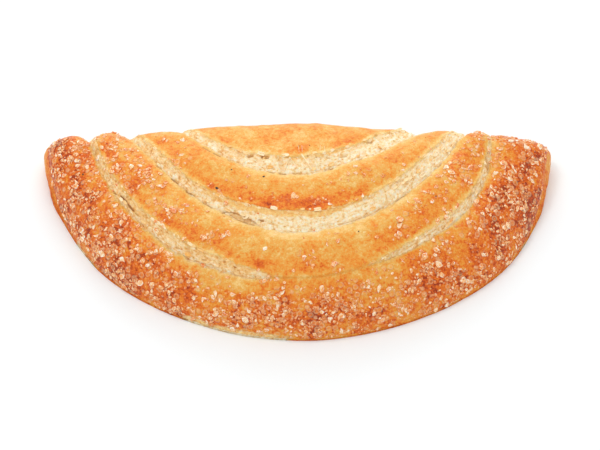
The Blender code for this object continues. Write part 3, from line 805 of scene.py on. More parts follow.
class Nodes:
    """A short way to write a material's nodes."""

    def __init__(self, name):
        self.material = bpy.data.materials.new(name)
        self.material.use_nodes = True
        self.tree = self.material.node_tree
        self.shader = self.tree.nodes["Principled BSDF"]

    def add(self, kind, inputs=None, **settings):
        """Adds a node. An input given as a socket is linked, and any other value is set."""
        node = self.tree.nodes.new(kind)
        for name, value in settings.items():
            setattr(node, name, value)
        self.feed(node, inputs or {})
        return node

    def feed(self, node, inputs):
        for name, value in inputs.items():
            if isinstance(value, bpy.types.NodeSocket):
                self.tree.links.new(value, node.inputs[name])
            else:
                node.inputs[name].default_value = value

    def attribute(self, name, output="Fac"):
        return self.add("ShaderNodeAttribute", attribute_name=name).outputs[output]

    def here(self):
        return self.add("ShaderNodeTexCoord").outputs["Object"]

    def noise(self, where, size, detail=2.0, roughness=0.5):
        """Noise whose lumps measure about a size in mm."""
        inputs = {"Vector": where, "Scale": 1.0 / (size * MM), "Detail": detail, "Roughness": roughness}
        return self.add("ShaderNodeTexNoise", inputs).outputs["Fac"]

    def cells(self, where, size):
        """Round cells about a size in mm wide: the distance from their middles and their random numbers."""
        node = self.add("ShaderNodeTexVoronoi", {"Vector": where, "Scale": 1.0 / (size * MM)})
        chances = self.add("ShaderNodeSeparateColor", {"Color": node.outputs["Color"]}).outputs
        return node.outputs["Distance"], chances

    def math(self, operation, *values):
        return self.add("ShaderNodeMath", dict(enumerate(values)), operation=operation).outputs[0]

    def total(self, *values):
        result = values[0]
        for value in values[1:]:
            result = self.math("ADD", result, value)
        return result

    def times(self, a, b):
        return self.math("MULTIPLY", a, b)

    def spread(self, value, low, high, to_low=0.0, to_high=1.0):
        """Maps a value from one range to another, and holds it there."""
        inputs = {"Value": value, "From Min": low, "From Max": high, "To Min": to_low, "To Max": to_high}
        return self.add("ShaderNodeMapRange", inputs).outputs["Result"]

    def blend(self, share, a, b, mode="MIX"):
        node = self.add("ShaderNodeMix", data_type="RGBA", blend_type=mode)
        for socket, value in zip((node.inputs[0], node.inputs[6], node.inputs[7]), (share, a, b)):
            if isinstance(value, bpy.types.NodeSocket):
                self.tree.links.new(value, socket)
            else:
                socket.default_value = value
        return node.outputs[2]

    def ramp(self, value, stops):
        """Colours along a value. Each stop is a place and a colour."""
        node = self.add("ShaderNodeValToRGB", {"Fac": value})
        colours = node.color_ramp.elements
        while len(colours) < len(stops):
            colours.new(0.5)
        for element, (place, colour) in zip(colours, stops):
            element.position = place
            element.color = colour
        return node.outputs["Color"]

    def bump(self, height, strength, distance, normal=None):
        inputs = {"Height": height, "Strength": strength, "Distance": distance * MM}
        if normal is not None:
            inputs["Normal"] = normal
        return self.add("ShaderNodeBump", inputs).outputs["Normal"]


def screen(red, green, blue):
    """A colour given as it looks on a screen, from 0 to 255, in the linear form that shaders take."""
    values = [channel / 255.0 for channel in (red, green, blue)]
    linear = [v / 12.92 if v <= 0.04045 else ((v + 0.055) / 1.055) ** 2.4 for v in values]
    return (*linear, 1.0)


# Unevenness of the browning: size in mm, detail, roughness, the noise's range and how much it changes.
BROWNING_NOISE = (
    (4.5, 4.0, 0.6, 0.3, 0.7, 0.14),
    (1.1, 3.0, 0.7, 0.3, 0.7, 0.15),
    (0.5, 2.0, 0.7, 0.35, 0.65, 0.1),
)

# Melted sugar in the crust: width of its rings and of its grains in mm, and how far each covers the crust.
# The bright rings are a painted highlight along the rims of the melted sugar.
RING_SIZE, GRAIN_SIZE = 2.1, 0.8
GLAZE_COVER, RING_HIGHLIGHT_COVER, FROST_COVER = 0.2, 0.32, 0.5
MELT_BROWNS, SCORCH_BROWNS = 0.22, 0.2

# How strongly the dough's fibres are stretched along a cut, and how much fibres and crumbs show in it.
FIBRE_STRETCH = (0.32, 1.0, 1.0)
FIBRE_SHARE, CRUMB_SHARE = 0.45, 0.55

CRUST_SCATTER = (1.0, 0.55, 0.25)
CRUST_SCATTER_DEPTH = 1.5 * MM
DOUGH_ROUGHNESS = 0.85


def crust_material(settings):
    """Baked puff pastry: browned crust, torn dough in the cuts, and dark tears and lines in the dough; the
    tears' darkness is painted shade in their hollows, with browned dough.
    """
    n = Nodes("baked_crust")
    here = n.here()
    melt = n.attribute("melt")
    glaze, ring, frost, scorch = melted_sugar(n, here, melt)
    browned = browning_value(n, here, melt, scorch, settings)
    crust = n.ramp(browned, (
        (0.0, screen(250, 228, 180)),
        (0.16, screen(244, 206, 135)),
        (0.36, (*settings.golden, 1.0)),
        (0.56, screen(234, 149, 48)),
        (0.76, (*settings.brown, 1.0)),
        (0.92, screen(200, 80, 12)),
        (1.0, screen(158, 56, 10)),
    ))
    crust = n.blend(n.times(glaze, GLAZE_COVER), crust, screen(252, 184, 112))
    # A painted highlight: bright rings round the cells of melted sugar.
    crust = n.blend(n.times(ring, RING_HIGHLIGHT_COVER), crust, screen(255, 226, 182))
    crust = n.blend(n.times(frost, FROST_COVER), crust, screen(255, 214, 162))
    ragged = n.spread(n.noise(here, 1.0, 4.0, 0.65), 0.3, 0.7, -0.3, 0.3)
    broken = n.spread(n.noise(here, 1.7, 4.0, 0.7), 0.32, 0.68, -0.42, 0.42)
    broken = n.total(ragged, n.times(broken, n.attribute("golden")))
    torn = n.spread(n.total(n.attribute("dough"), broken), 0.3, 0.75)
    stretched = n.add("ShaderNodeMapping", {"Vector": n.attribute("flow", "Vector"), "Scale": FIBRE_STRETCH})
    fibres = n.noise(stretched.outputs[0], 0.6, 4.0, 0.65)
    grain = n.total(n.times(fibres, FIBRE_SHARE), n.times(n.noise(here, 0.9, 4.0, 0.65), CRUMB_SHARE))
    colour = n.blend(torn, crust, torn_dough(n, here, ragged, grain, settings))
    brown_line = n.spread(n.attribute("crease"), 0.15, 1.0, 0.0, 0.3)
    colour = n.blend(brown_line, colour, screen(244, 176, 98))
    # Darker in the tears, from pale tan to dark brown: painted shade in their hollows, with browned dough.
    stain = n.attribute("stain")
    colour = n.blend(n.spread(stain, 0.1, 0.5, 0.0, 0.5), colour, screen(236, 186, 112))
    colour = n.blend(n.spread(stain, 0.45, 0.9, 0.0, 0.85), colour, screen(164, 96, 34))
    n.feed(n.shader, {"Base Color": colour, "IOR": 1.45, "Specular IOR Level": 0.3})
    n.feed(n.shader, {"Subsurface Weight": 0.15, "Subsurface Scale": CRUST_SCATTER_DEPTH})
    n.feed(n.shader, {"Subsurface Radius": CRUST_SCATTER})
    smoothest, roughest = 0.6 - 0.4 * settings.gloss, 0.8 - 0.4 * settings.gloss
    crust_roughness = n.spread(n.noise(here, 3.0, 2.0), 0.3, 0.7, smoothest, roughest)
    crust_roughness = n.math("SUBTRACT", crust_roughness, n.times(melt, 0.2))
    roughness = n.add("ShaderNodeMix", {0: torn, 2: crust_roughness, 3: DOUGH_ROUGHNESS})
    n.feed(n.shader, {"Roughness": roughness.outputs[0]})
    skin = n.bump(n.noise(here, 1.1, 4.0, 0.7), 0.6, 0.5)
    sugared = n.bump(glaze, 0.8, 0.3, skin)
    n.feed(n.shader, {"Normal": n.bump(n.times(grain, torn), 0.8, 0.6, sugared)})
    return n.material


def melted_sugar(n, here, melt):
    """Where sugar melted into the crust: its glaze, a painted highlight in bright rings round that, frosted
    and scorched grains.
    """
    distance, chances = n.cells(here, RING_SIZE)
    covered = n.spread(n.math("SUBTRACT", melt, chances["Red"]), 0.0, 0.12)
    glaze = n.times(covered, n.spread(distance, 0.34, 0.48, 1.0, 0.0))
    # The ring is a painted highlight along the rim of each cell of glaze.
    ring = n.times(glaze, n.spread(distance, 0.22, 0.34))
    distance, chances = n.cells(here, GRAIN_SIZE)
    frost = n.times(n.spread(chances["Green"], 0.7, 0.78), n.times(melt, n.spread(distance, 0.5, 0.3)))
    scorch = n.times(n.spread(chances["Green"], 0.24, 0.14), melt)
    return glaze, ring, frost, scorch


def browning_value(n, here, melt, scorch, settings):
    """How far the crust browned, mottled, and darker under the sugar."""
    bake = n.attribute("bake")
    uneven = n.total(*(n.spread(n.noise(here, size, detail, rough), low, high, -change, change)
                       for size, detail, rough, low, high, change in BROWNING_NOISE))
    uneven = n.times(uneven, n.spread(bake, 0.05, 0.4, 0.35, 1.0))
    by_sugar = n.total(n.times(melt, MELT_BROWNS), n.times(scorch, SCORCH_BROWNS))
    return n.total(bake, uneven, by_sugar, 0.5 * (settings.browning - 0.5))


def torn_dough(n, here, ragged, grain, settings):
    """Torn dough: cream and fibrous, streaked where a layer shows, shaded under the crust, partly golden."""
    dough = n.ramp(grain, (
        (0.36, screen(216, 162, 96)),
        (0.44, screen(248, 210, 152)),
        (0.5, (*settings.dough, 1.0)),
        (0.6, screen(255, 248, 226)),
    ))
    streaks = n.blend(n.spread(grain, 0.38, 0.6), screen(236, 160, 72), screen(255, 226, 156))
    dough = n.blend(n.spread(n.total(n.attribute("layer"), ragged), 0.2, 0.9), dough, streaks)
    shaded = n.spread(n.total(n.attribute("under"), n.times(ragged, 0.6)), 0.2, 1.0, 0.0, 0.7)
    dough = n.blend(shaded, dough, screen(252, 204, 126))
    patchy = n.spread(n.noise(here, 2.4, 3.0), 0.35, 0.65, -0.4, 0.4)
    golden = n.spread(n.total(n.attribute("golden"), patchy), 0.25, 1.0, 0.0, 0.9)
    return n.blend(golden, dough, n.ramp(grain, (
        (0.37, screen(176, 100, 42)),
        (0.43, screen(226, 158, 80)),
        (0.5, screen(242, 190, 118)),
        (0.6, screen(252, 220, 164)),
    )))


SUGAR_SCATTER = (1.0, 0.7, 0.4)
SUGAR_SCATTER_DEPTH = 0.8 * MM


def sugar_material(settings):
    """Coarse sugar, partly melted: clear peach over the crust, with a painted glint in near white along its
    broken upper edges.
    """
    n = Nodes("coarse_sugar")
    cloud = n.noise(n.here(), 0.6, 3.0)
    tint = n.total(n.attribute("tint"), n.spread(cloud, 0.3, 0.7, -0.16, 0.16))
    colour = n.ramp(tint, (
        (0.0, screen(255, 242, 222)),
        (0.3, (*settings.colour, 1.0)),
        (0.55, screen(250, 188, 122)),
        (0.8, screen(240, 148, 70)),
        (1.0, screen(226, 120, 44)),
    ))
    # A painted glint: near white along the crystals' upper edges, broken by noise.
    glint = n.total(n.attribute("ridge"), n.spread(n.noise(n.here(), 0.8, 2.0), 0.35, 0.65, -0.4, 0.2))
    colour = n.blend(n.spread(glint, 0.6, 1.0, 0.0, 0.9), colour, screen(255, 246, 230))
    n.feed(n.shader, {"Base Color": colour, "IOR": 1.5})
    n.feed(n.shader, {"Subsurface Weight": 0.15, "Subsurface Scale": SUGAR_SCATTER_DEPTH})
    n.feed(n.shader, {"Subsurface Radius": SUGAR_SCATTER})
    n.feed(n.shader, {"Coat Weight": 0.4, "Coat Roughness": 0.05})
    n.feed(n.shader, {"Roughness": n.spread(cloud, 0.3, 0.7, 0.1, 0.3)})
    n.feed(n.shader, {"Normal": n.bump(n.noise(n.here(), 0.4, 3.0), 0.4, 0.1)})
    return n.material


class CrustSettings(bpy.types.PropertyGroup):
    """What a user would change on the crust."""

    gloss: bpy.props.FloatProperty(
        name="Gloss", description="How glossy the baked crust is", default=0.5, min=0.0, max=1.0,
        subtype="FACTOR",
    )
    browning: bpy.props.FloatProperty(
        name="Browning", description="How long it baked: less is paler", default=0.5, min=0.0, max=1.0,
        subtype="FACTOR",
    )
    golden: bpy.props.FloatVectorProperty(
        name="Golden crust", description="Colour of the lightly baked crust",
        default=screen(232, 178, 88)[:3], min=0.0, max=1.0, subtype="COLOR",
    )
    brown: bpy.props.FloatVectorProperty(
        name="Brown crust", description="Colour of the well baked crust", default=screen(225, 107, 20)[:3],
        min=0.0, max=1.0, subtype="COLOR",
    )
    dough: bpy.props.FloatVectorProperty(
        name="Dough", description="Colour of the torn dough in the cuts", default=screen(254, 232, 188)[:3],
        min=0.0, max=1.0, subtype="COLOR",
    )


class SugarSettings(bpy.types.PropertyGroup):
    """What a user would change on the sugar."""

    count: bpy.props.IntProperty(name="Crystals", description="How many sugar crystals", default=2300, min=1)
    smallest: bpy.props.FloatProperty(
        name="Smallest", description="Width of the smallest crystal", default=0.45 * MM, unit="LENGTH"
    )
    largest: bpy.props.FloatProperty(
        name="Largest", description="Width of the largest crystal", default=2.8 * MM, unit="LENGTH"
    )
    seed: bpy.props.IntProperty(name="Seed", description="Changes where the crystals fall", default=7)
    colour: bpy.props.FloatVectorProperty(
        name="Sugar", description="Colour of the clear sugar", default=screen(254, 213, 163)[:3],
        min=0.0, max=1.0, subtype="COLOR",
    )


class StageSettings(bpy.types.PropertyGroup):
    """What a user would change on the stage."""

    lens: bpy.props.FloatProperty(
        name="Lens", description="Focal length of the camera", default=400.0, subtype="DISTANCE_CAMERA"
    )
    soft_power: bpy.props.FloatProperty(
        name="Soft box", description="Power of the large light above", default=0.8, unit="POWER"
    )
    key_power: bpy.props.FloatProperty(
        name="Key light", description="Power of the small light above", default=0.8, unit="POWER"
    )
    rear_power: bpy.props.FloatProperty(
        name="Rear light", description="Power of the low, wide light behind", default=1.8, unit="POWER"
    )
    sky: bpy.props.FloatProperty(name="Sky", description="Brightness of the white surroundings", default=0.85)


TOP = Top()
CRUST_VALUES = ("bake", "dough", "golden", "crease", "layer", "under", "stain", "melt")


class TURNOVER_OT_crust(bpy.types.Operator):
    """Model the baked crust with its cuts, its round fold and its layered rim"""

    bl_idname = "turnover.crust"
    bl_label = "Baked crust"

    def execute(self, context):
        deselect_all()
        rows, columns = TOP.level.shape
        bpy.ops.mesh.primitive_grid_add(x_subdivisions=columns - 1, y_subdivisions=rows - 1, size=2.0)
        crust = new_piece("crust")
        index = place_grid(crust.data, rows, columns)
        values = {name: spread_over(crust.data, index, getattr(TOP, name)) for name in CRUST_VALUES}
        values["across"] = spread_over(crust.data, index, np.min(np.abs(TOP.offset), axis=2))
        values["along"] = spread_over(crust.data, index, TOP.along)
        extrude_sides(crust, index, values)
        mesh = crust.data
        for name in CRUST_VALUES:
            add_values(mesh, name, values[name])
        flow = np.stack([values["along"], values["across"], np.zeros(len(mesh.vertices))], axis=1) * MM
        flow_values = mesh.attributes.new("flow", "FLOAT_VECTOR", "POINT").data
        flow_values.foreach_set("vector", flow.astype(np.float32).ravel())
        finish_piece(crust, crust_material(context.scene.turnover_crust))
        return {"FINISHED"}


def place_grid(mesh, rows, columns):
    """Moves a flat grid onto the top and returns the vertex at each row and column."""
    flat = np.empty(len(mesh.vertices) * 3, np.float32)
    mesh.vertices.foreach_get("co", flat)
    flat = flat.reshape(-1, 3)
    column = np.rint((flat[:, 0] + 1.0) / 2.0 * (columns - 1)).astype(int)
    row = np.rint((1.0 - flat[:, 1]) / 2.0 * (rows - 1)).astype(int)
    index = np.empty((rows, columns), int)
    index[row, column] = np.arange(len(flat))
    flat[:] = to_frame(TOP.point)[row, column]
    mesh.vertices.foreach_set("co", flat.ravel())
    mesh.update()
    return index


def spread_over(mesh, index, grid):
    """A grid's values in the order of the mesh's vertices."""
    values = np.zeros(len(mesh.vertices))
    values[index.ravel()] = grid.ravel()
    return values


def edge_indices(index):
    """Vertices round the top's edge: the rim left to right, the right end, the fold and the left end."""
    return np.concatenate([index[-1, :], index[-2:0:-1, -1], index[0, ::-1], index[1:-1, 0]])


def rim_share():
    """How much of the rim's profile each vertex of the edge has."""
    rows, columns = TOP.level.shape
    rim = ease(np.sin(TOP.angle[-1]), 0.0, RIM_BLEND)
    return np.concatenate([rim, np.zeros(rows - 2), np.zeros(columns), np.zeros(rows - 2)])


def profile_at(profile, share):
    """A place on a side profile, smoothed through its points."""
    places = np.linspace(0.0, 1.0, len(profile))
    near = [np.clip(share + shift, 0.0, 1.0) for shift in (-PROFILE_SMOOTHING, 0.0, PROFILE_SMOOTHING)]
    return [np.mean([np.interp(s, places, column) for s in near]) for column in zip(*profile)]


def extrude_sides(crust, index, values):
    """Extrudes the top's edge down the round back and the layered rim, and closes the base."""
    loop = list(edge_indices(index))
    points = np.array([crust.data.vertices[i].co for i in loop]) / MM
    ahead = np.roll(points, -1, axis=0) - np.roll(points, 1, axis=0)
    out = np.stack([ahead[:, 1], -ahead[:, 0], np.zeros(len(loop))], axis=1)
    out = smooth_round(out, EDGE_SMOOTHING)
    out /= np.linalg.norm(out, axis=1, keepdims=True)
    share = rim_share()
    walk = np.concatenate([[0.0], np.cumsum(np.linalg.norm(np.diff(points, axis=0), axis=1))])
    still = 0.0 * walk
    radius = FOLD_STOP * fold_radius(points[:, 0])
    tall = mix(RIM_LAYERS_LOW, 1.0, ease(points[:, 2], LOW_RIM, TALL_RIM))
    rim_reach = mix(*RIM_REACH, ease(points[:, 2], EDGE_HEIGHT, TALL_RIM))
    waves = 0.5 * unevenness(stack(walk, still), RIM_WAVES)
    start_bake = np.array([values["bake"][i] for i in loop])
    bare = table_at(BARE_RIM, seen_at(points)[:, 0]) + unevenness(stack(walk, still), BARE_SIDE_UNEVENNESS)
    bare = np.clip(bare, 0.0, 1.0)
    for step in range(1, SIDE_ROWS + 1):
        down = step / SIDE_ROWS
        fold_out, fold_height = profile_at(FOLD_PROFILE, down)
        rim_out, rim_height = profile_at(RIM_PROFILE, down)
        turns = 2.0 * PI * (RIM_LAYERS * down + waves)
        layers = RIM_LAYER_DEPTH * np.sin(turns)
        rough = unevenness(stack(walk, RIM_ROUGHNESS_STRETCH * down + still), RIM_ROUGHNESS)
        relief = (layers + rough) * math.sin(PI * down) * tall
        row = points + out * mix(fold_out * radius, rim_out * rim_reach + relief, share)[:, None]
        row[:, 2] = mix(fold_height, rim_height, share) * points[:, 2]
        stripes = 0.5 + 0.5 * np.sin(turns + RIM_STRIPE_SHIFT)
        rim_bake = mix(start_bake, SIDE_BAKE_RIM, min(1.0, 2.0 * down))
        rim_bake = mix(rim_bake, mix(*BARE_BAKE, stripes), ease(bare, *BARE_SIDE_RANGE))
        fold_bake = mix(start_bake, SIDE_BAKE_FOLD, min(1.0, 3.0 * down))
        raw = share * ease(bare - RAW_STRIPES * stripes, *RAW_RANGE)
        loop = extrude_loop(crust, loop, row * MM)
        grow_values(crust.data, values, loop, {
            "bake": mix(fold_bake, rim_bake, share), "dough": raw, "golden": RAW_GOLDEN * raw,
            "along": walk, "across": SIDE_FLOW_START + SIDE_FLOW_LENGTH * down + still,
        })
    centre = np.array((points[:, 0].mean(), points[:, 1].mean(), 0.0)) * MM
    base = np.array([crust.data.vertices[i].co for i in loop])
    for ring in BASE_RINGS:
        loop = extrude_loop(crust, loop, centre + (base - centre) * ring)
        grow_values(crust.data, values, loop, {
            "bake": SIDE_BAKE_BASE + still, "along": walk, "across": BASE_FLOW + still,
        })
    bpy.ops.object.mode_set(mode="EDIT")
    bpy.ops.mesh.edge_face_add()
    bpy.ops.mesh.select_all(action="SELECT")
    bpy.ops.mesh.normals_make_consistent(inside=False)
    bpy.ops.object.mode_set(mode="OBJECT")


def smooth_round(values, passes):
    """Evens out an array round a closed loop."""
    for _ in range(passes):
        values = 0.5 * values + 0.25 * (np.roll(values, 1, axis=0) + np.roll(values, -1, axis=0))
    return values


def extrude_loop(piece, loop, places):
    """Extrudes a closed loop of vertices to new places and returns the new loop in the same order."""
    mesh = piece.data
    bpy.ops.object.mode_set(mode="EDIT")
    work = bmesh.from_edit_mesh(mesh)
    bpy.ops.mesh.select_mode(type="EDGE")
    bpy.ops.mesh.select_all(action="DESELECT")
    work.verts.ensure_lookup_table()
    ring = [work.verts[i] for i in loop]
    for vert, after in zip(ring, ring[1:] + ring[:1]):
        work.edges.get((vert, after)).select_set(True)
    bmesh.update_edit_mesh(mesh)
    bpy.ops.mesh.extrude_region_move()
    work = bmesh.from_edit_mesh(mesh)
    work.verts.ensure_lookup_table()
    came_from = {}
    for vert in work.verts:
        if vert.select:
            for edge in vert.link_edges:
                other = edge.other_vert(vert)
                if not other.select:
                    came_from[other.index] = vert
    new = [came_from[i] for i in loop]
    for vert, place in zip(new, places):
        vert.co = place
    indices = [vert.index for vert in new]
    bmesh.update_edit_mesh(mesh)
    bpy.ops.object.mode_set(mode="OBJECT")
    return indices


def grow_values(mesh, values, loop, given):
    """Gives the vertices of a new loop their values."""
    for name in list(values):
        grown = np.zeros(len(mesh.vertices))
        grown[: len(values[name])] = values[name]
        if name in given:
            grown[loop] = given[name]
        values[name] = grown


class TURNOVER_OT_sugar(bpy.types.Operator):
    """Scatter coarse sugar crystals, thickest along the rim and at both ends"""

    bl_idname = "turnover.sugar"
    bl_label = "Coarse sugar"

    def execute(self, context):
        settings = context.scene.turnover_sugar
        rng = np.random.default_rng(settings.seed)
        shapes = [crystal_shape(number, rng) for number in range(CRYSTAL_SHAPES)]
        places = sugar_places(settings, rng)
        build_sugar(shapes, places, settings, rng)
        for shape in shapes:
            bpy.data.objects.remove(shape)
        return {"FINISHED"}


# Crystals: how many shapes, their sides, how far the outline varies, and their other measures in widths.
CRYSTAL_SHAPES = 12
CRYSTAL_SIDES = (4, 7)
CRYSTAL_OUTLINE = (0.55, 1.3)
CRYSTAL_DEPTH = (0.5, 1.0)
CRYSTAL_HEIGHT = (0.7, 1.5)
CRYSTAL_LEAN = 0.2
CRYSTAL_BROKEN = 0.07
CRYSTAL_MIDDLE = 0.01

# Rings of a crystal, in its widths: height, narrowing from the ring below and how strong a glint is painted
# on it.
CRYSTAL_RINGS = ((0.07, 1.0, 0.5), (0.16, 0.82, 1.0), (0.19, 0.5, 0.2))
CRYSTAL_BOTTOM = -0.2

# How much of the crust's brown shows through a crystal's facets, by their height in widths of the crystal.
FACET_TINTS = ((-0.2, 0.95), (0.0, 0.85), (0.09, 0.45), (0.14, 0.35), (0.17, 0.6), (0.3, 0.65))
FACET_CHANGE, CRYSTAL_CHANGE, SMALL_CHANGE = 0.2, 0.16, 0.2

# How bright the painted glint on the broken ridges is: at random along each, and at small and large crystals,
# by width in mm.
GLINT_BREAKS = (0.45, 1.15)
GLINT_SMALL, GLINT_LARGE = 0.7, 1.05
BOLD_WIDTHS = (0.6, 1.8)

# How the widths spread between the smallest and the largest, and how close two crystals lie, in widths.
WIDTH_SPREAD = (1.3, 2.9)
CRYSTALS_APART = 0.29
SEARCH_CELL = 2.5
DRAWS_PER_CRYSTAL = 6

# How crystals cling together in clumps, and how far a few of them strayed up the first band, by level.
CLINGING = ((1.0, 3.2, 90.0),)
CLINGING_LEAST, CLINGING_RANGE = 0.08, (0.0, 0.4)
MELT_POWER = 1.2
STRAY_SHARE, STRAY_LEVELS = 0.004, (1.1, 1.3)
NO_SUGAR_LEVELS = (0.1, 0.3)

# How far crystals tilt in radians, how deep they sink in widths, and up to which angle facets look smooth.
CRYSTAL_TILT = 0.13
CRYSTAL_SINK = (-0.1, 0.02)
CRYSTAL_SMOOTH = math.radians(14.0)


def crystal_shape(number, rng):
    """One broken, half melted lump of sugar, about one unit wide, with its upper edge marked for a painted
    glint.
    """
    deselect_all()
    sides = int(rng.integers(CRYSTAL_SIDES[0], CRYSTAL_SIDES[1] + 1))
    bpy.ops.mesh.primitive_circle_add(vertices=sides, radius=0.5, fill_type="NGON")
    shape = new_piece(f"crystal_shape_{number}")
    bpy.ops.object.mode_set(mode="EDIT")
    bpy.ops.mesh.select_all(action="SELECT")
    bpy.ops.transform.translate(value=(0.0, 0.0, CRYSTAL_BOTTOM))
    below = CRYSTAL_BOTTOM
    for height, narrowing, _ in CRYSTAL_RINGS:
        bpy.ops.mesh.extrude_region_move(TRANSFORM_OT_translate={"value": (0.0, 0.0, height - below)})
        bpy.ops.transform.resize(value=(narrowing, narrowing, 1.0))
        below = height
    bpy.ops.mesh.poke()
    bpy.ops.mesh.select_all(action="SELECT")
    bpy.ops.mesh.quads_convert_to_tris()
    bpy.ops.mesh.normals_make_consistent(inside=False)
    bpy.ops.object.mode_set(mode="OBJECT")
    heights, _, catches = zip(*CRYSTAL_RINGS)
    catch_table = tuple(zip((CRYSTAL_BOTTOM, *heights), (0.0, *catches)))
    ridge = [table_at(catch_table, v.co.z) * (v.co.xy.length > CRYSTAL_MIDDLE) for v in shape.data.vertices]
    add_values(shape.data, "ridge", ridge)
    outline = rng.uniform(*CRYSTAL_OUTLINE, sides)
    squash = np.array((1.0, rng.uniform(*CRYSTAL_DEPTH), rng.uniform(*CRYSTAL_HEIGHT)))
    lean = rng.uniform(-CRYSTAL_LEAN, CRYSTAL_LEAN, 2)
    for vert in shape.data.vertices:
        place = np.array(vert.co)
        turn = (math.atan2(place[1], place[0]) / (2.0 * PI)) % 1.0 * sides
        place[:2] *= outline[int(round(turn)) % sides]
        place[2] += place[:2] @ lean * (place[2] > 0.0)
        vert.co = Vector(squash * (place + rng.uniform(-CRYSTAL_BROKEN, CRYSTAL_BROKEN, 3)))
    return shape


def sugar_liking():
    """How readily sugar lies at each place of the top: it clings together in clumps."""
    clinging = CLINGING_LEAST + ease(unevenness(TOP.even, CLINGING), *CLINGING_RANGE)
    strayed = STRAY_SHARE * ease(TOP.level, *STRAY_LEVELS)
    return (TOP.melt**MELT_POWER + strayed) * clinging * ease(TOP.level, *NO_SUGAR_LEVELS)


def sugar_places(settings, rng):
    """Rows and columns of the crystals with their sizes, kept a little apart."""
    quad = 0.25 * (TOP.point[:-1, :-1] + TOP.point[1:, :-1] + TOP.point[:-1, 1:] + TOP.point[1:, 1:])
    sides = np.cross(TOP.point[1:, 1:] - TOP.point[:-1, :-1], TOP.point[1:, :-1] - TOP.point[:-1, 1:])
    area = 0.5 * np.linalg.norm(sides, axis=2)
    weight = (area * sugar_liking()[:-1, :-1]).ravel()
    draws = rng.choice(weight.size, size=settings.count * DRAWS_PER_CRYSTAL, p=weight / weight.sum())
    found = []
    cells = {}
    for draw in draws:
        row, column = divmod(int(draw), area.shape[1])
        size = mix(settings.smallest, settings.largest, rng.beta(*WIDTH_SPREAD)) / MM
        place = quad[row, column]
        cell = tuple((place // SEARCH_CELL).astype(int))
        near = [entry for dx in (-1, 0, 1) for dy in (-1, 0, 1) for dz in (-1, 0, 1)
                for entry in cells.get((cell[0] + dx, cell[1] + dy, cell[2] + dz), ())]
        if all(np.linalg.norm(place - other) > CRYSTALS_APART * (size + wide) for other, wide in near):
            cells.setdefault(cell, []).append((place, size))
            found.append((place, TOP.normal[row, column], size))
            if len(found) == settings.count:
                break
    return found


def build_sugar(shapes, places, settings, rng):
    """Joins a copy of a crystal at every place into one piece."""
    corners = [np.array([v.co for v in shape.data.vertices]) for shape in shapes]
    faces = [ordered_faces(shape) for shape in shapes]
    ridge_glints = [np.array([value.value for value in shape.data.attributes["ridge"].data]) for shape in shapes]
    points, triangles, tints, ridge = [], [], [], []
    start = 0
    for place, normal, size in places:
        kind = int(rng.integers(len(shapes)))
        tilt_x, tilt_y = rng.normal(0.0, CRYSTAL_TILT), rng.normal(0.0, CRYSTAL_TILT)
        tilt = Euler((tilt_x, tilt_y, rng.uniform(0.0, 2.0 * PI)))
        turn = Vector(normal).to_track_quat("Z", "Y").to_matrix() @ tilt.to_matrix()
        spot = place + normal * size * rng.uniform(*CRYSTAL_SINK)
        points.append(to_frame(spot + size * corners[kind] @ np.array(turn).T))
        triangles.append(faces[kind] + start)
        middles = corners[kind][faces[kind]][:, :, 2].mean(axis=1)
        facet = table_at(FACET_TINTS, middles) + rng.normal(0.0, FACET_CHANGE, len(middles))
        facet += rng.normal(0.0, CRYSTAL_CHANGE)
        bold = ease(size, *BOLD_WIDTHS)
        tints.append(np.clip(facet + SMALL_CHANGE * (1.0 - bold), 0.0, 1.0))
        broken = rng.uniform(*GLINT_BREAKS, len(corners[kind]))
        ridge.append(ridge_glints[kind] * broken * mix(GLINT_SMALL, GLINT_LARGE, bold))
        start += len(corners[kind])
    sugar = mesh_piece("sugar", points, triangles)
    sugar.data.attributes.new("tint", "FLOAT", "FACE").data.foreach_set("value", np.concatenate(tints))
    add_values(sugar.data, "ridge", np.concatenate(ridge))
    finish_piece(sugar, sugar_material(settings), CRYSTAL_SMOOTH)


# Threads of dough across the first cut: half width in mm, lift off the dough in mm and path in pixels.
STRANDS = (
    (0.17, 0.5, (291, 156, 288.4, 162, 286.4, 169)), (0.15, 0.5, (291, 156, 295, 161, 299.6, 167)),
    (0.27, 0.6, (302.4, 153.6, 306, 158, 309.6, 163, 313, 168)),
    (0.14, 0.4, (333, 153.6, 336.6, 159.6, 332, 166.8)),
    (0.07, 0.35, (322, 145, 321.6, 150, 322.2, 155)), (0.07, 0.3, (326, 146, 325.4, 150, 325.6, 154)),
    (0.06, 0.3, (300, 144.6, 300.4, 148, 300.2, 151.4)), (0.06, 0.3, (303.6, 145, 303.8, 148, 303.4, 151)),
    (0.1, 0.3, (274, 157.6, 276, 161, 277.4, 165)), (0.1, 0.3, (341, 152, 339.6, 155, 338.6, 159.4)),
    (0.1, 0.3, (353, 149.6, 350.6, 153, 349.4, 157)), (0.1, 0.25, (256, 157.6, 259, 160, 262.4, 164)),
    (0.12, 0.3, (316.6, 156, 319, 160, 320, 165)), (0.08, 0.3, (265, 158, 268, 162, 270, 167)),
    (0.1, 0.25, (398, 186, 404, 190, 408, 192)), (0.1, 0.25, (300, 213, 306, 217, 309, 222)),
)
STRAND_THICKNESS = 0.8
STRAND_END, STRAND_MIDDLE = 1.5, 0.85


class TURNOVER_OT_strands(bpy.types.Operator):
    """Stretch the threads of dough that cross the widest part of the first cut"""

    bl_idname = "turnover.strands"
    bl_label = "Dough strands"

    def execute(self, context):
        deselect_all()
        made = [add_strand(number, *strand) for number, strand in enumerate(STRANDS)]
        finish_piece(join_pieces(made, "strands"), strand_material())
        return {"FINISHED"}


def place_on_top(across, down):
    """Row and column of the place on the top that shows at a pixel of the photo."""
    away = np.linalg.norm(TOP.seen - np.array((across, down)), axis=-1)
    return np.unravel_index(np.argmin(away), away.shape)


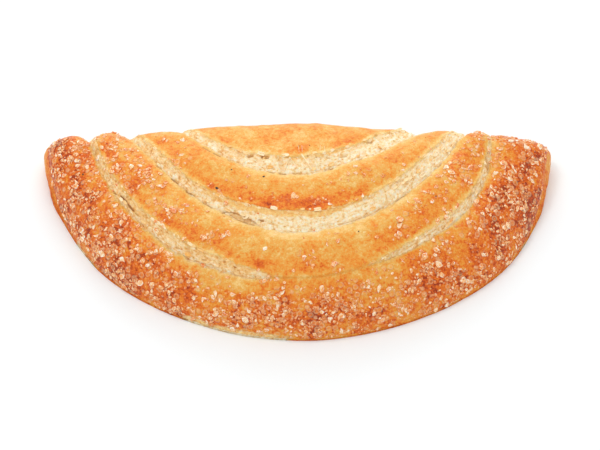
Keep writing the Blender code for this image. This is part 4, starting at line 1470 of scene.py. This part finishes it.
def add_strand(number, half_width, lift, path):
    """One thread: a curve from edge to edge, thicker at its ends, made a mesh."""
    corners = np.array(path, float).reshape(-1, 2)
    points = []
    for order, (across, down) in enumerate(corners):
        spot = place_on_top(across, down)
        rise = lift * math.sin(PI * (order + 0.35) / (len(corners) - 0.3))
        points.append(to_frame(TOP.point[spot] + TOP.normal[spot] * rise))
    deselect_all()
    bpy.ops.curve.primitive_nurbs_path_add()
    thread = new_piece(f"strand_{number}")
    spline = thread.data.splines[0]
    spline.points.add(max(0, len(points) + 2 - len(spline.points)))
    places = [points[0]] + points + [points[-1]] * (len(spline.points) - len(points) - 1)
    for order, (point, place) in enumerate(zip(spline.points, places)):
        point.co = (*place, 1.0)
        at_end = order in (0, 1, len(places) - 2, len(places) - 1)
        point.radius = STRAND_END if at_end else STRAND_MIDDLE
    spline.use_endpoint_u = True
    thread.data.bevel_depth = STRAND_THICKNESS * half_width * MM
    thread.data.bevel_resolution = 1
    thread.data.use_fill_caps = True
    bpy.ops.object.convert(target="MESH")
    return bpy.context.active_object


def strand_material():
    """Pale stretched dough, a little golden in places."""
    n = Nodes("stretched_dough")
    here = n.here()
    colour = n.ramp(n.noise(here, 1.5, 3.0), (
        (0.35, screen(250, 216, 156)),
        (0.55, screen(254, 230, 184)),
        (0.7, screen(255, 240, 206)),
    ))
    n.feed(n.shader, {"Base Color": colour, "Roughness": n.spread(n.noise(here, 0.6), 0.3, 0.7, 0.5, 0.8)})
    n.feed(n.shader, {"Normal": n.bump(n.noise(here, 0.4, 2.0), 0.3, 0.1), "Subsurface Weight": 0.2})
    n.shader.inputs["Subsurface Scale"].default_value = 0.001
    return n.material


class TURNOVER_OT_flakes(bpy.types.Operator):
    """Lay loose flakes of pastry along the torn edges of the cuts"""

    bl_idname = "turnover.flakes"
    bl_label = "Flakes"

    def execute(self, context):
        rng = np.random.default_rng(FLAKE_SEED)
        shapes = [flake_shape(number, rng) for number in range(FLAKE_SHAPES)]
        build_flakes(shapes, flake_places(rng), rng)
        for shape in shapes:
            bpy.data.objects.remove(shape)
        return {"FINISHED"}


FLAKE_SHAPES = 6
FLAKE_SEED = 21
FLAKE_THICKNESS = 0.07
FLAKE_CURL, FLAKE_TAPER, FLAKE_TWIST = (0.1, 0.35), (0.3, 0.8), (-0.2, 0.2)
FLAKE_LENGTHS = (0.7, 2.0)
FLAKE_TILT = 0.22
FLAKE_LIFT = 0.05
FLAKE_SMOOTH = math.radians(50.0)

# Flakes: which cut, from and to which share, where across it (0 top edge, 1 bottom) and how many.
FLAKE_RUNS = (
    (0, 0.1, 0.95, 0.0, 34), (0, 0.2, 0.9, 0.75, 14), (1, 0.08, 0.95, 0.0, 40), (1, 0.1, 0.95, 0.7, 26),
    (1, 0.7, 0.95, 0.4, 16), (2, 0.1, 0.42, 0.0, 26), (2, 0.1, 0.42, 0.7, 18), (2, 0.64, 0.97, 0.1, 24),
    (2, 0.62, 0.97, 0.7, 26),
)


def flake_shape(number, rng):
    """A thin curled chip of pastry, about one unit long, lying along X."""
    deselect_all()
    bpy.ops.mesh.primitive_grid_add(x_subdivisions=4, y_subdivisions=2, size=1.0)
    shape = new_piece(f"flake_shape_{number}")
    curl, taper, twist = rng.uniform(*FLAKE_CURL), rng.uniform(*FLAKE_TAPER), rng.uniform(*FLAKE_TWIST)
    for vert in shape.data.vertices:
        x, y, _ = vert.co
        across = y * 0.5 * (1.0 - taper * (2.0 * x) ** 2)
        rise = curl * (y * y * 2.0 - 0.2) + twist * x * y + rng.uniform(-0.03, 0.03)
        vert.co = (x, across + rng.uniform(-0.05, 0.05), rise)
    solid = shape.modifiers.new("thickness", "SOLIDIFY")
    solid.thickness = FLAKE_THICKNESS
    bpy.ops.object.modifier_apply(modifier="thickness")
    bpy.ops.object.mode_set(mode="EDIT")
    bpy.ops.mesh.select_all(action="SELECT")
    bpy.ops.mesh.quads_convert_to_tris()
    bpy.ops.mesh.normals_make_consistent(inside=False)
    bpy.ops.object.mode_set(mode="OBJECT")
    return shape


def flake_places(rng):
    """Places, directions and sizes of the flakes along the cuts."""
    found = []
    for cut, start, end, across, count in FLAKE_RUNS:
        for _ in range(count):
            share = rng.uniform(start, end)
            column = int(np.argmin(np.abs(TOP.share[0] - share)))
            width = table_at(CUT_WIDTHS[cut], share)
            offset = width * (across - FACE_ABOVE) + rng.normal(0.0, 0.25)
            row = int(np.argmin(np.abs(TOP.offset[:, column, cut] - offset)))
            ahead = TOP.point[row, min(column + 3, COLUMNS)] - TOP.point[row, max(column - 3, 0)]
            size = rng.uniform(*FLAKE_LENGTHS) * mix(0.7, 1.1, float(ease(width, 1.5, 5.0)))
            found.append((TOP.point[row, column], TOP.normal[row, column], ahead, size))
    return found


def build_flakes(shapes, places, rng):
    """Joins a copy of a flake at every place into one piece."""
    corners = [np.array([v.co for v in shape.data.vertices]) for shape in shapes]
    faces = [ordered_faces(shape) for shape in shapes]
    points, triangles, tints = [], [], []
    start = 0
    for place, normal, ahead, size in places:
        kind = int(rng.integers(len(shapes)))
        up = normal + rng.normal(0.0, FLAKE_TILT, 3)
        up /= np.linalg.norm(up)
        forward = ahead - up * (ahead @ up)
        forward /= max(np.linalg.norm(forward), 1e-6)
        turn = np.stack([forward, np.cross(up, forward), up])
        points.append(to_frame(place + up * size * FLAKE_LIFT + size * corners[kind] @ turn))
        triangles.append(faces[kind] + start)
        tints.append(np.full(len(corners[kind]), rng.random()))
        start += len(corners[kind])
    flakes = mesh_piece("flakes", points, triangles)
    add_values(flakes.data, "tint", np.concatenate(tints))
    finish_piece(flakes, flake_material(), FLAKE_SMOOTH)


def flake_material():
    """Thin flakes, from pale dough to golden crust."""
    n = Nodes("pastry_flakes")
    here = n.here()
    tint = n.total(n.times(n.attribute("tint"), 0.7), n.times(n.noise(here, 1.0, 3.0), 0.3))
    colour = n.ramp(tint, (
        (0.1, screen(255, 240, 206)),
        (0.55, screen(252, 220, 160)),
        (0.85, screen(246, 190, 104)),
    ))
    n.feed(n.shader, {"Base Color": colour, "Roughness": n.spread(n.noise(here, 0.8), 0.3, 0.7, 0.5, 0.8)})
    n.feed(n.shader, {"Normal": n.bump(n.noise(here, 0.35, 3.0), 0.4, 0.08)})
    return n.material


class TURNOVER_OT_specks(bpy.types.Operator):
    """Press a few burnt specks into the crust"""

    bl_idname = "turnover.specks"
    bl_label = "Burnt specks"

    def execute(self, context):
        rng = np.random.default_rng(SPECK_SEED)
        made = []
        for number, (across, down, half_width) in enumerate(SPECKS):
            spot = place_on_top(across, down)
            deselect_all()
            bpy.ops.mesh.primitive_ico_sphere_add(subdivisions=2, radius=half_width * MM)
            speck = new_piece(f"speck_{number}")
            turn = Vector(TOP.normal[spot]).to_track_quat("Z", "Y").to_matrix()
            centre = to_frame(TOP.point[spot])
            squash = np.array((rng.uniform(*SPECK_LENGTH), 1.0, SPECK_FLATNESS))
            for vert in speck.data.vertices:
                place = np.array(vert.co) * squash * rng.uniform(*SPECK_BROKEN)
                vert.co = Vector(centre) + turn @ Vector(place)
            made.append(speck)
        finish_piece(join_pieces(made, "specks"), speck_material(), SPECK_SMOOTH)
        return {"FINISHED"}


SPECK_SEED = 5
SPECK_LENGTH = (1.0, 1.5)
SPECK_FLATNESS = 0.55
SPECK_BROKEN = (0.8, 1.15)
SPECK_SMOOTH = math.radians(30.0)


def speck_material():
    """Burnt crumbs, nearly black."""
    n = Nodes("burnt_crumb")
    here = n.here()
    colour = n.ramp(n.noise(here, 0.4, 2.0), ((0.35, screen(34, 20, 12)), (0.7, screen(92, 54, 26))))
    n.feed(n.shader, {"Base Color": colour, "Roughness": n.spread(n.noise(here, 0.3), 0.3, 0.7, 0.4, 0.7)})
    n.feed(n.shader, {"Normal": n.bump(n.noise(here, 0.2, 2.0), 0.4, 0.05)})
    return n.material


# The stage: the floor's side in metres, and each lamp's place and width in metres.
FLOOR_SIZE = 6.0
SOFT_BOX_PLACE, SOFT_BOX_SIZE = (-0.05, -0.1, 0.8), 0.9
KEY_LIGHT_PLACE, KEY_LIGHT_SIZE = (-0.25, 0.12, 0.75), 0.2
REAR_LIGHT_PLACE, REAR_LIGHT_SIZE = (0.0, 0.75, 0.35), 0.6

SENSOR = 36.0
NEAREST_SEEN = 0.05
FRAMING_STEPS = 6


class TURNOVER_OT_stage(bpy.types.Operator):
    """Lay a plain white floor, hang soft studio lights and set the camera at the photo's angle"""

    bl_idname = "turnover.stage"
    bl_label = "Stage"

    def execute(self, context):
        settings = context.scene.turnover_stage
        add_floor()
        add_lights(context.scene, settings)
        add_camera(context.scene, settings)
        return {"FINISHED"}


def add_floor():
    deselect_all()
    bpy.ops.mesh.primitive_plane_add(size=FLOOR_SIZE)
    floor = new_piece("floor")
    n = Nodes("white_floor")
    shade = n.spread(n.noise(n.here(), 400.0), 0.3, 0.7, 0.0, 1.0)
    colour = n.ramp(shade, ((0.0, screen(244, 248, 249)), (1.0, screen(247, 251, 252))))
    n.feed(n.shader, {"Base Color": colour, "Roughness": 0.9})
    floor.data.materials.append(n.material)


def add_lights(scene, settings):
    world = bpy.data.worlds.new("white_surroundings")
    world.use_nodes = True
    world.node_tree.nodes["Background"].inputs["Color"].default_value = (1.0, 1.0, 1.0, 1.0)
    world.node_tree.nodes["Background"].inputs["Strength"].default_value = settings.sky
    scene.world = world
    add_lamp("soft_box", SOFT_BOX_PLACE, SOFT_BOX_SIZE, settings.soft_power)
    add_lamp("key_light", KEY_LIGHT_PLACE, KEY_LIGHT_SIZE, settings.key_power)
    add_lamp("rear_light", REAR_LIGHT_PLACE, REAR_LIGHT_SIZE, settings.rear_power)


def add_lamp(name, place, size, power):
    """Hangs a round lamp that points at the pastry."""
    bpy.ops.object.light_add(type="AREA", location=place)
    lamp = bpy.context.active_object
    lamp.name = name
    lamp.data.shape = "DISK"
    lamp.data.size = size
    lamp.data.energy = power
    aim(lamp, Vector((0.0, 0.0, 0.0)))


def aim(thing, target):
    thing.rotation_euler = (target - thing.location).to_track_quat("-Z", "Y").to_euler()


def add_camera(scene, settings):
    """Looks along +Y and down, and frames the object as the photo does."""
    deselect_all()
    back = np.array((0.0, -math.cos(CAMERA_HEIGHT), math.sin(CAMERA_HEIGHT)))
    up = np.array((0.0, math.sin(CAMERA_HEIGHT), math.cos(CAMERA_HEIGHT)))
    across = np.array((1.0, 0.0, 0.0))
    points = np.array([vert.co for vert in bpy.data.objects["crust"].data.vertices])
    target = np.zeros(3)
    distance = PHOTO_WIDTH * (HIGH.x - LOW.x) / (OBJECT_RIGHT - OBJECT_LEFT) * settings.lens / SENSOR
    for _ in range(FRAMING_STEPS):
        away = points - (target + back * distance)
        pixels = PHOTO_WIDTH * settings.lens / SENSOR / -(away @ back)
        x = PHOTO_WIDTH / 2.0 + (away @ across) * pixels
        y = PHOTO_HEIGHT / 2.0 - (away @ up) * pixels
        scale = distance * SENSOR / settings.lens / PHOTO_WIDTH
        target = target + across * (x.min() + x.max() - OBJECT_LEFT - OBJECT_RIGHT) / 2.0 * scale
        target = target - up * (y.min() + y.max() - OBJECT_TOP - OBJECT_BOTTOM) / 2.0 * scale
        distance *= (x.max() - x.min()) / (OBJECT_RIGHT - OBJECT_LEFT)
    bpy.ops.object.camera_add(location=target + back * distance)
    camera = bpy.context.active_object
    camera.name = "photo_camera"
    camera.data.lens = settings.lens
    camera.data.sensor_width = SENSOR
    camera.data.clip_start = NEAREST_SEEN
    aim(camera, Vector(target))
    scene.camera = camera


class TURNOVER_PT_panel(bpy.types.Panel):
    """Lists the pieces of the turnover"""

    bl_idname = "TURNOVER_PT_panel"
    bl_label = "Apple turnover"
    bl_space_type = "VIEW_3D"
    bl_region_type = "UI"
    bl_category = "Turnover"

    def draw(self, context):
        for operator in OPERATORS:
            self.layout.operator(operator.bl_idname)


OPERATORS = (
    TURNOVER_OT_crust, TURNOVER_OT_strands, TURNOVER_OT_flakes, TURNOVER_OT_specks, TURNOVER_OT_sugar,
    TURNOVER_OT_stage,
)
GROUPS = {"turnover_crust": CrustSettings, "turnover_sugar": SugarSettings, "turnover_stage": StageSettings}


def register():
    for group in GROUPS.values():
        bpy.utils.register_class(group)
    for operator in OPERATORS:
        bpy.utils.register_class(operator)
    bpy.utils.register_class(TURNOVER_PT_panel)
    for name, group in GROUPS.items():
        setattr(bpy.types.Scene, name, bpy.props.PointerProperty(type=group))


def unregister():
    for name in GROUPS:
        delattr(bpy.types.Scene, name)
    bpy.utils.unregister_class(TURNOVER_PT_panel)
    for operator in reversed(OPERATORS):
        bpy.utils.unregister_class(operator)
    for group in reversed(GROUPS.values()):
        bpy.utils.unregister_class(group)


def main():
    register()
    bpy.context.scene.view_settings.view_transform = "Standard"
    bpy.ops.turnover.crust()
    bpy.ops.turnover.strands()
    bpy.ops.turnover.flakes()
    bpy.ops.turnover.specks()
    bpy.ops.turnover.sugar()
    bpy.ops.turnover.stage()


if __name__ == "__main__":
    main()
